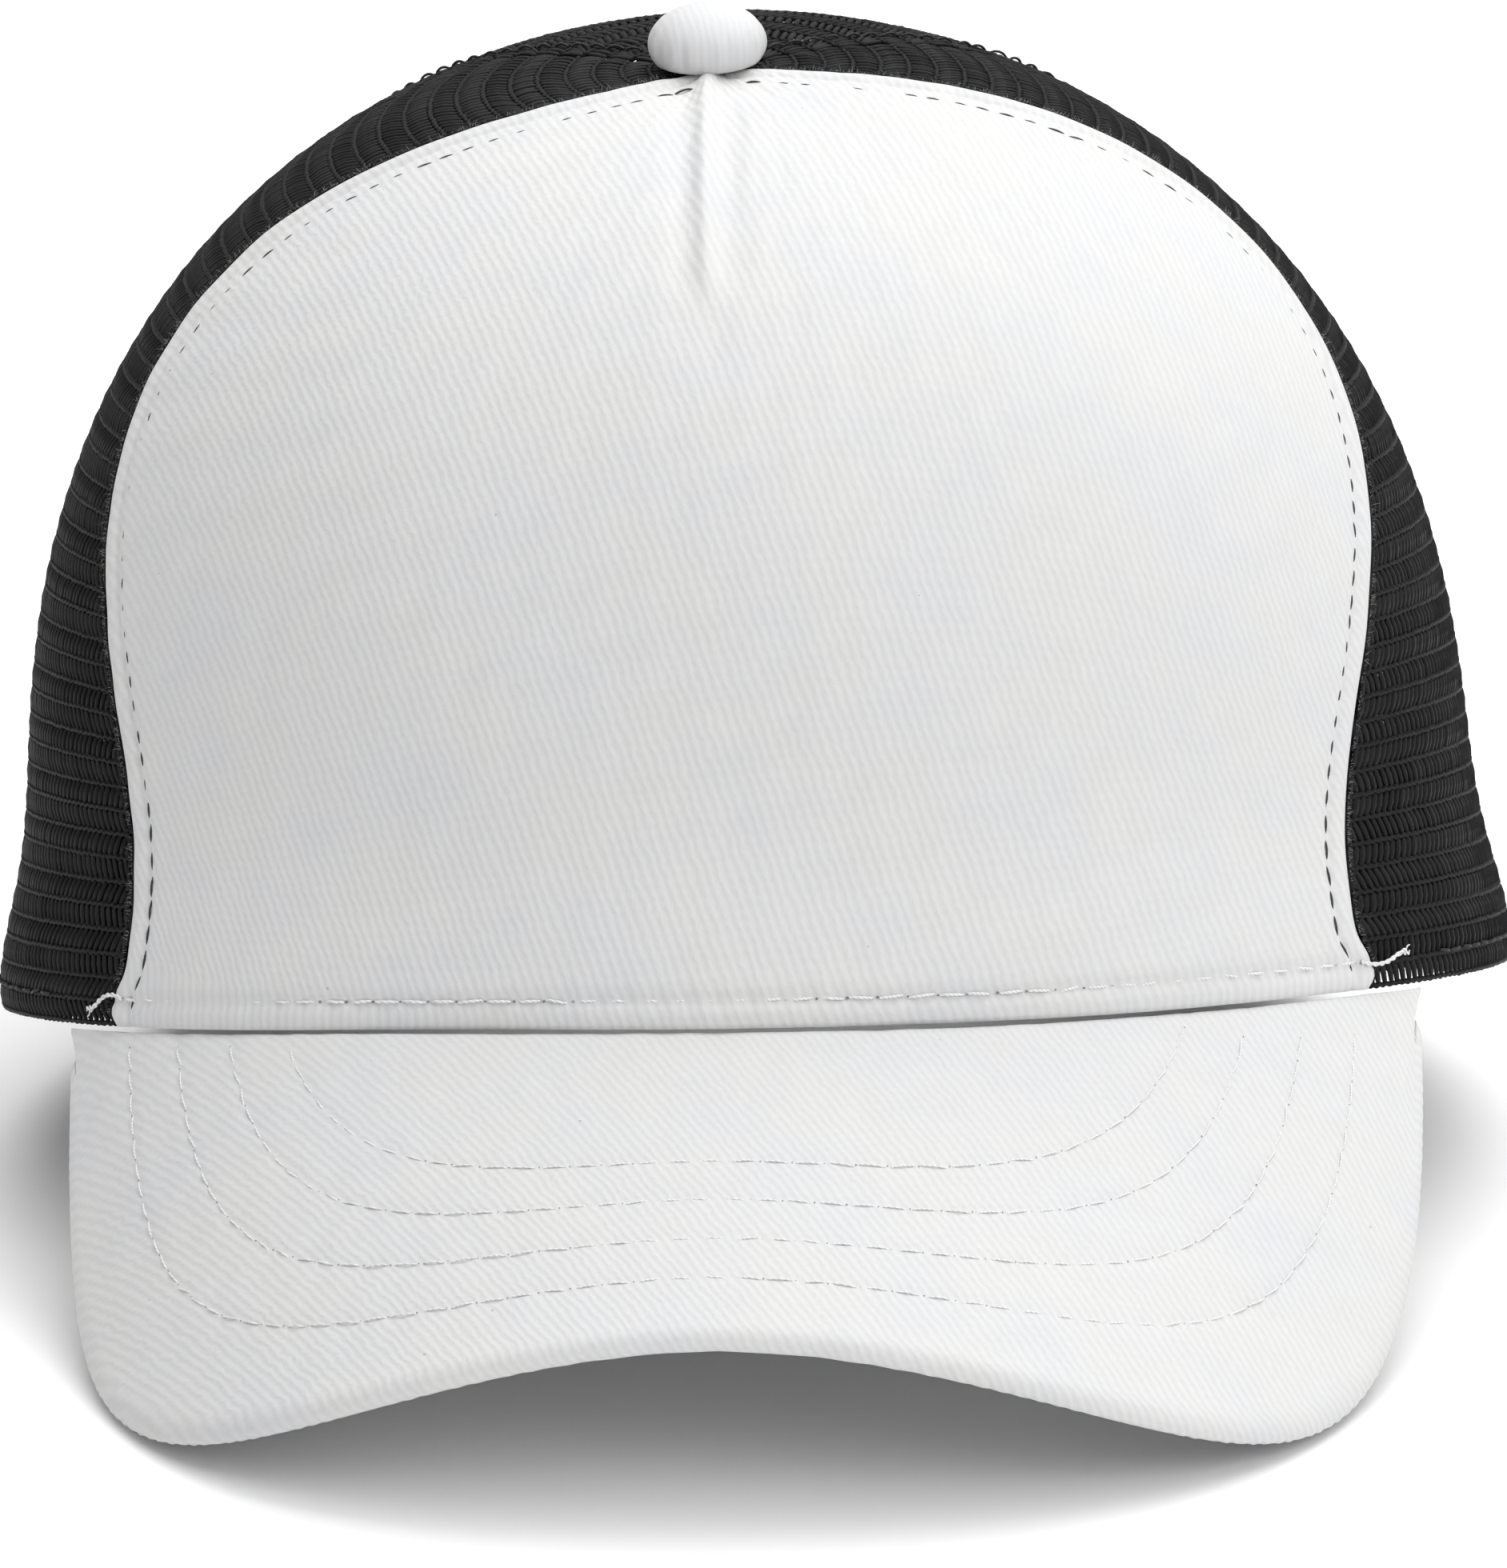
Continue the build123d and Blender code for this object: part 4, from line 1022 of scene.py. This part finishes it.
# ---------------------------------------------------------------- button
def button_axes():
    seat = crown_raw(np.array(0.0), 0.999)
    across = crown_raw(np.array(pi / 2), 0.96) - crown_raw(np.array(-pi / 2), 0.96)
    along = crown_raw(np.array(pi), 0.96) - crown_raw(np.array(0.0), 0.96)
    axis = unit(np.cross(across, along))
    right = unit(across - axis * (across * axis).sum())
    return seat, right, np.cross(axis, right), axis


def button():
    """Twill stretched over the metal shell, with small gathers towards its rim."""
    seat, right, back, axis = button_axes()
    turn = np.linspace(0, 2 * pi, 145)[:-1]
    grids = []
    for skin in (0.0, 0.55):
        radius, height, base = BUTTON_RADIUS - skin, BUTTON_HEIGHT - skin, BUTTON_CLEARANCE + skin * 0.2
        waist = base + BUTTON_WAIST
        angle, under = np.linspace(0.0, pi / 2, 30), np.linspace(0, pi / 2, 12)[1:]
        rows_r = np.concatenate([radius * np.sin(angle) ** 0.97, radius - BUTTON_TUCK * (1 - np.cos(under)),
                                 [radius - BUTTON_TUCK - 1.2 + skin * 0.4]])
        rows_z = np.concatenate([waist + (height - waist) * np.cos(angle) ** 0.93,
                                 waist - BUTTON_WAIST * np.sin(under), [base]])
        gather = np.clip((rows_r / radius - 0.72) / 0.28, 0, 1) ** 2
        ripple = 1 + 0.012 * gather[:, None] * (np.sin(turn * 14 + 1.2) + 0.7 * np.sin(turn * 23))
        r = rows_r[:, None] * (ripple if skin == 0 else 1)
        p = seat + right * (r * np.cos(turn))[..., None] + back * (r * np.sin(turn))[..., None]
        grids.append(p + axis * np.broadcast_to(rows_z[:, None], r.shape)[..., None])
    rows, columns = grids[0].shape[:2]
    index = np.arange(rows * columns).reshape(rows, columns)
    nxt = np.roll(index, -1, axis=1)
    outer = np.stack([index[:-1], index[1:], nxt[1:], nxt[:-1]], -1).reshape(-1, 4)
    inner = outer[:, ::-1] + rows * columns
    rim = np.stack([index[-1], index[-1] + rows * columns, nxt[-1] + rows * columns, nxt[-1]], -1)
    points = np.concatenate([g.reshape(-1, 3) for g in grids])
    local = points - seat
    uv = np.stack([local @ right, local @ back], -1)
    piece = make_mesh("button_cover_cloth", points, np.concatenate([outer, inner, rim]), uv, BUTTON_TWILL)
    return settle_piece(piece, "button_cover")


# ---------------------------------------------------------------- visor
def row_gap(x, y, inset, count):
    """Plan distance from each point of the visor to the stitch row at this inset."""
    edge_x, edge_y = visor_edge(np.linspace(-1, 1, count), inset)
    gap = np.full(x.shape, 1e9)
    for start in range(0, count, 60):
        part = slice(start, start + 60)
        near = np.hypot(x[..., None] - edge_x[part], y[..., None] - edge_y[part]).min(-1)
        gap = np.minimum(gap, near)
    return gap


def visor_cover():
    """Twill over the visor, drawn down round the board's edge and turned under."""
    share = np.sin(np.linspace(-1, 1, 281) * pi / 2 * 0.9999)
    share = 0.55 * share + 0.45 * np.linspace(-1, 1, 281)
    turn = np.linspace(0, pi / 2, 7)[1:]
    x, y = visor_plan(share, np.linspace(0, 1, VISOR_TOP_ROWS)[:, None], VISOR_TURN_INSET)
    half = VISOR_THICKNESS / 2
    grids = []
    for skin in (0.0, COVER_THICKNESS):
        across, down = (half - skin) * np.sin(turn), (half - skin) * np.cos(turn)
        inset = [*(VISOR_TURN_INSET - across), *(VISOR_TURN_INSET - down), VISOR_LIP_INSET]
        depth = [*(half - down), *(half + across), VISOR_THICKNESS - skin]
        lip = [visor_point(*visor_edge(share, i), d) for i, d in zip(inset, depth)]
        grids.append(np.concatenate([visor_point(x, y, skin), np.array(lip)]))
    outer, inner = grids
    plain = outer[:VISOR_TOP_ROWS]
    normal = unit(outer - inner)
    run = lengths_along(outer, 0)
    from_edge = run[VISOR_TOP_ROWS - 1] - run[:VISOR_TOP_ROWS]
    relief = np.zeros(run.shape)
    for inset in STITCH_ROWS:
        relief[:VISOR_TOP_ROWS] -= 0.09 * swell(row_gap(x, y, inset, 900), 0, 0.6)
    slack = 0.10 * waves(x, y, 34, seed=21) + 0.05 * waves(x, y, 8, seed=22)
    relief[:VISOR_TOP_ROWS] += slack * smooth_step(from_edge, 0, 8)
    along = lengths_along(outer, 1)[VISOR_EDGE_ROW]
    ribs = np.sin(along * 2 * pi / 2.3 + 0.9 * np.sin(along * 0.21))
    band = swell(run, run[VISOR_EDGE_ROW], 2.1)
    relief += 0.13 * ribs * band + 0.10 * band
    relief -= 0.25 * swell(run, 0, 0.9)
    flat_x = np.concatenate([plain, np.repeat(plain[-1:], len(outer) - VISOR_TOP_ROWS, 0)])[..., 0]
    uv = np.stack([flat_x, plain[0, :, 1] - plain[0, :, 1].max() - run], -1)
    outer = outer + normal * relief[..., None]
    return cloth("visor_top_cloth", outer, inner, uv, VISOR_TWILL, "visor_top_cover", "white_twill")


def visor_under():
    share = np.linspace(-1, 1, 181)
    out = np.linspace(0, 1, 50)[:, None]
    inset = COVER_THICKNESS + 0.25 + 0.9
    seam_x = share * (VISOR_HALF_WIDTH - 0.4 - inset)
    edge_x, edge_y = visor_edge(share, inset)
    x = seam_x + (edge_x - seam_x) * out
    seam_y = hem_y(seam_x) - VISOR_SEAM_GAP
    y = seam_y + (edge_y - seam_y) * out
    dip = np.zeros(x.shape)
    for row in STITCH_ROWS:
        dip += 0.18 * swell(row_gap(x, y, row, 600), 0, 0.8)
    outer = visor_point(x, y, UNDER_COVER[0])
    inner = visor_point(x, y, UNDER_COVER[1] - dip + 0.04 * waves(x, y, 12, seed=31))
    uv = np.stack([x, -y], -1)
    return cloth("visor_under_cloth", outer, inner, uv, VISOR_TWILL, "visor_under_cover", "white_twill")


def visor_stitching():
    for number, inset in enumerate(STITCH_ROWS, 1):
        share = np.linspace(-0.985, 0.985, 900)
        x, y = visor_edge(share, inset)
        keep = y < hem_y(x) - 2.0
        x, y = x[keep], y[keep]
        top, inside = visor_point(x, y, 0.04), visor_point(x, y, 1.04)
        normal = unit(top - inside)
        stitches(f"visor_stitches_{number}", top, normal, 4.0, 0.12, WHITE_THREAD,
                 share=0.80)
        needle_holes(f"visor_needle_holes_{number}", top + normal * 0.05, normal, 4.0, 0.08)
        under = visor_point(x, y, UNDER_COVER[1] - 0.16)
        stitches(f"visor_under_stitches_{number}", under, -normal, 4.0, 0.17, WHITE_THREAD,
                 share=0.80)


# ---------------------------------------------------------------- snap closure
def closure_point(distance, radius, height):
    """Point given along the closure's arc, out from its centre, and up."""
    angle = distance / CLOSURE_RADIUS
    x, y, z = radius * np.sin(angle), radius * np.cos(angle) - CLOSURE_RADIUS - 3.2, height
    lean, roll = radians(CLOSURE_LEAN), radians(-CROWN_ROLL)
    y, z = y * cos(lean) - z * sin(lean) + rear_y, y * sin(lean) + z * cos(lean)
    return xyz(x * cos(roll) + z * sin(roll), y, -x * sin(roll) + z * cos(roll))


def flex_strip(name, side, outer):
    """Thin living hinge between a strap's sewn root and its free tab."""
    flex = -side * FLEX_LINE
    distance = np.linspace(flex - 2.3, flex + 2.3, 25)
    height = np.linspace(STRAP_BOTTOM + 0.5, STRAP_BOTTOM + STRAP_HEIGHT - 0.5, 12)[:, None]
    distance, height = np.broadcast_arrays(distance, height)
    a = closure_point(distance, outer - 0.25, height)
    b = closure_point(distance, outer - STRAP_THICKNESS + 0.25, height)
    piece = cloth_mesh(name, a, b, None, SNAP)
    low, high = (closure_point(flex + side * k, outer - STRAP_THICKNESS / 2,
                               STRAP_BOTTOM + STRAP_HEIGHT / 2) for k in (-0.5, 0.5))
    tuple(place(low))
    tuple(place(high))
    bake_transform(piece)
    return piece


SNAP = plastic_material("snap_plastic", 0.016, 0.42)
BOARD_PLASTIC = plastic_material("visor_board_plastic", 0.62, 0.5)
TIN = metal_material()
HOLE_SHADE = thread_material("needle_hole_shade", 0.26, 0.95)


def finish_node(node, material):
    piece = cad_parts[node]
    piece.data.materials.clear()
    piece.data.materials.append(material)


# ---------------------------------------------------------------- make everything
front_panel()
front_buckram()
net_panel("mesh_side_left", SIDE_LEFT, FRONT_LEFT, seed=1)
net_panel("mesh_side_right", FRONT_RIGHT, SIDE_RIGHT, seed=2)
net_panel("mesh_rear_left", REAR_LEFT, SIDE_LEFT, seed=3, arch=True)
net_panel("mesh_rear_right", SIDE_RIGHT, REAR_RIGHT, seed=4, arch=True)
sweatband()
padding = band_padding()
care_label()
for side, name in BOTH_SIDES:
    seam_tape(f"seam_tape_front_{name}", front_seam, side, 0.02, 0.88)
    seam_tape(f"seam_tape_side_{name}", side_seam, side, 0.02, 0.88)
seam_tape("seam_tape_rear", rear_seam, 1, float(climb_at(pi, 60.0)), 0.88)
arch_binding()
crown_stitching()
seam_fibres()
button()
visor_cover()
visor_under()
visor_stitching()
flex_strip("strap_holes_hinge", -1, CLOSURE_RADIUS)
flex_strip("strap_pegs_hinge", 1, CLOSURE_RADIUS - STRAP_THICKNESS - STRAP_SPACING)
for node in ("strap_holes_root", "strap_holes_tab", "strap_pegs_root", "strap_pegs_tab"):
    finish_node(node, SNAP)
finish_node("visor_board", BOARD_PLASTIC)
finish_node("button_shell", TIN)
finish_node("button_prong", TIN)


# ---------------------------------------------------------------- floor, light and camera
def floor():
    size = 6.0
    points = xyz(np.array([-1, 1, 1, -1]) * size, np.array([-1, -1, 1, 1]) * size, np.zeros(4))
    n = Nodes("floor_paper")
    at = n.object_place()
    grain = n.noise(at, 900.0, 2.0)
    colour = n.mix(grain, (0.96, 0.96, 0.962, 1), (0.98, 0.98, 0.98, 1))
    n.shade(Base_Color=colour, Roughness=0.95, Specular_IOR_Level=0.1)
    piece = make_mesh("floor", points, np.array([[0, 1, 2, 3]]), None, n.material, placed=True)


def lamp(name, at, towards, size, power, colour=(1, 1, 1)):
    data = bpy.data.lights.new(name, "AREA")
    data.energy, data.size, data.color = power, size, colour
    light = bpy.data.objects.new(name, data)
    bpy.context.scene.collection.objects.link(light)
    light.location = at
    light.rotation_euler = (Vector(towards) - Vector(at)).to_track_quat("-Z", "Y").to_euler()


floor()
lamp("key", (1.0, -1.1, 1.0), (0, 0, 0.07), 0.9, 9.6)
lamp("fill", (-1.1, -1.1, 0.8), (0, 0, 0.07), 1.0, 1.5)
lamp("top", (0.1, -0.22, 1.5), (0, -0.05, 0), 1.5, 9.5)
lamp("backdrop", (0.35, 0.9, 1.3), (0.25, 0.65, 0), 1.8, 24)
world = bpy.data.worlds.new("world")
bpy.context.scene.world = world
world.use_nodes = True
world.node_tree.nodes["Background"].inputs["Color"].default_value = (1, 1, 1, 1)
world.node_tree.nodes["Background"].inputs["Strength"].default_value = 0.36
bpy.context.scene.view_settings.view_transform = "Standard"

# Camera: where it stands in the cap's level frame, and how it is turned.
TARGET, DISTANCE = np.array([0.0, -19.0, 47.5]), 1301.5
YAW, ELEVATION, ROLL = radians(2.09), radians(2.34), radians(0.27)
FOCAL_PIXELS, LONG_SIDE_PIXELS, SENSOR_WIDTH = 12152, 1960, 36.0
AIM_RIGHT, AIM_DOWN = 5.8 / FOCAL_PIXELS, 187.1 / FOCAL_PIXELS

right = np.array([cos(YAW), sin(YAW), 0.0])
away = np.array([-sin(YAW), cos(YAW), 0.0])
ahead = away * cos(ELEVATION) - np.array([0, 0, 1]) * sin(ELEVATION)
up = away * sin(ELEVATION) + np.array([0, 0, 1]) * cos(ELEVATION)
eye = TARGET - ahead * DISTANCE
right, up = right * cos(ROLL) - up * sin(ROLL), right * sin(ROLL) + up * cos(ROLL)
ahead = unit(ahead + right * AIM_RIGHT - up * AIM_DOWN)
lean = np.array([[1, 0, 0], [0, cos(LEAN), sin(LEAN)], [0, -sin(LEAN), cos(LEAN)]])
ahead, up = lean @ ahead, lean @ up
right = unit(np.cross(ahead, up))
up = np.cross(right, ahead)
camera_data = bpy.data.cameras.new("camera")
camera_data.lens = FOCAL_PIXELS / LONG_SIDE_PIXELS * SENSOR_WIDTH
camera_data.sensor_width = SENSOR_WIDTH
camera_data.clip_end = 50.0
camera = bpy.data.objects.new("camera", camera_data)
bpy.context.scene.collection.objects.link(camera)
turn = np.eye(4)
turn[:3, 0], turn[:3, 1], turn[:3, 2], turn[:3, 3] = right, up, -ahead, place(eye)
camera.matrix_world = Matrix(turn.tolist())
bpy.context.scene.camera = camera
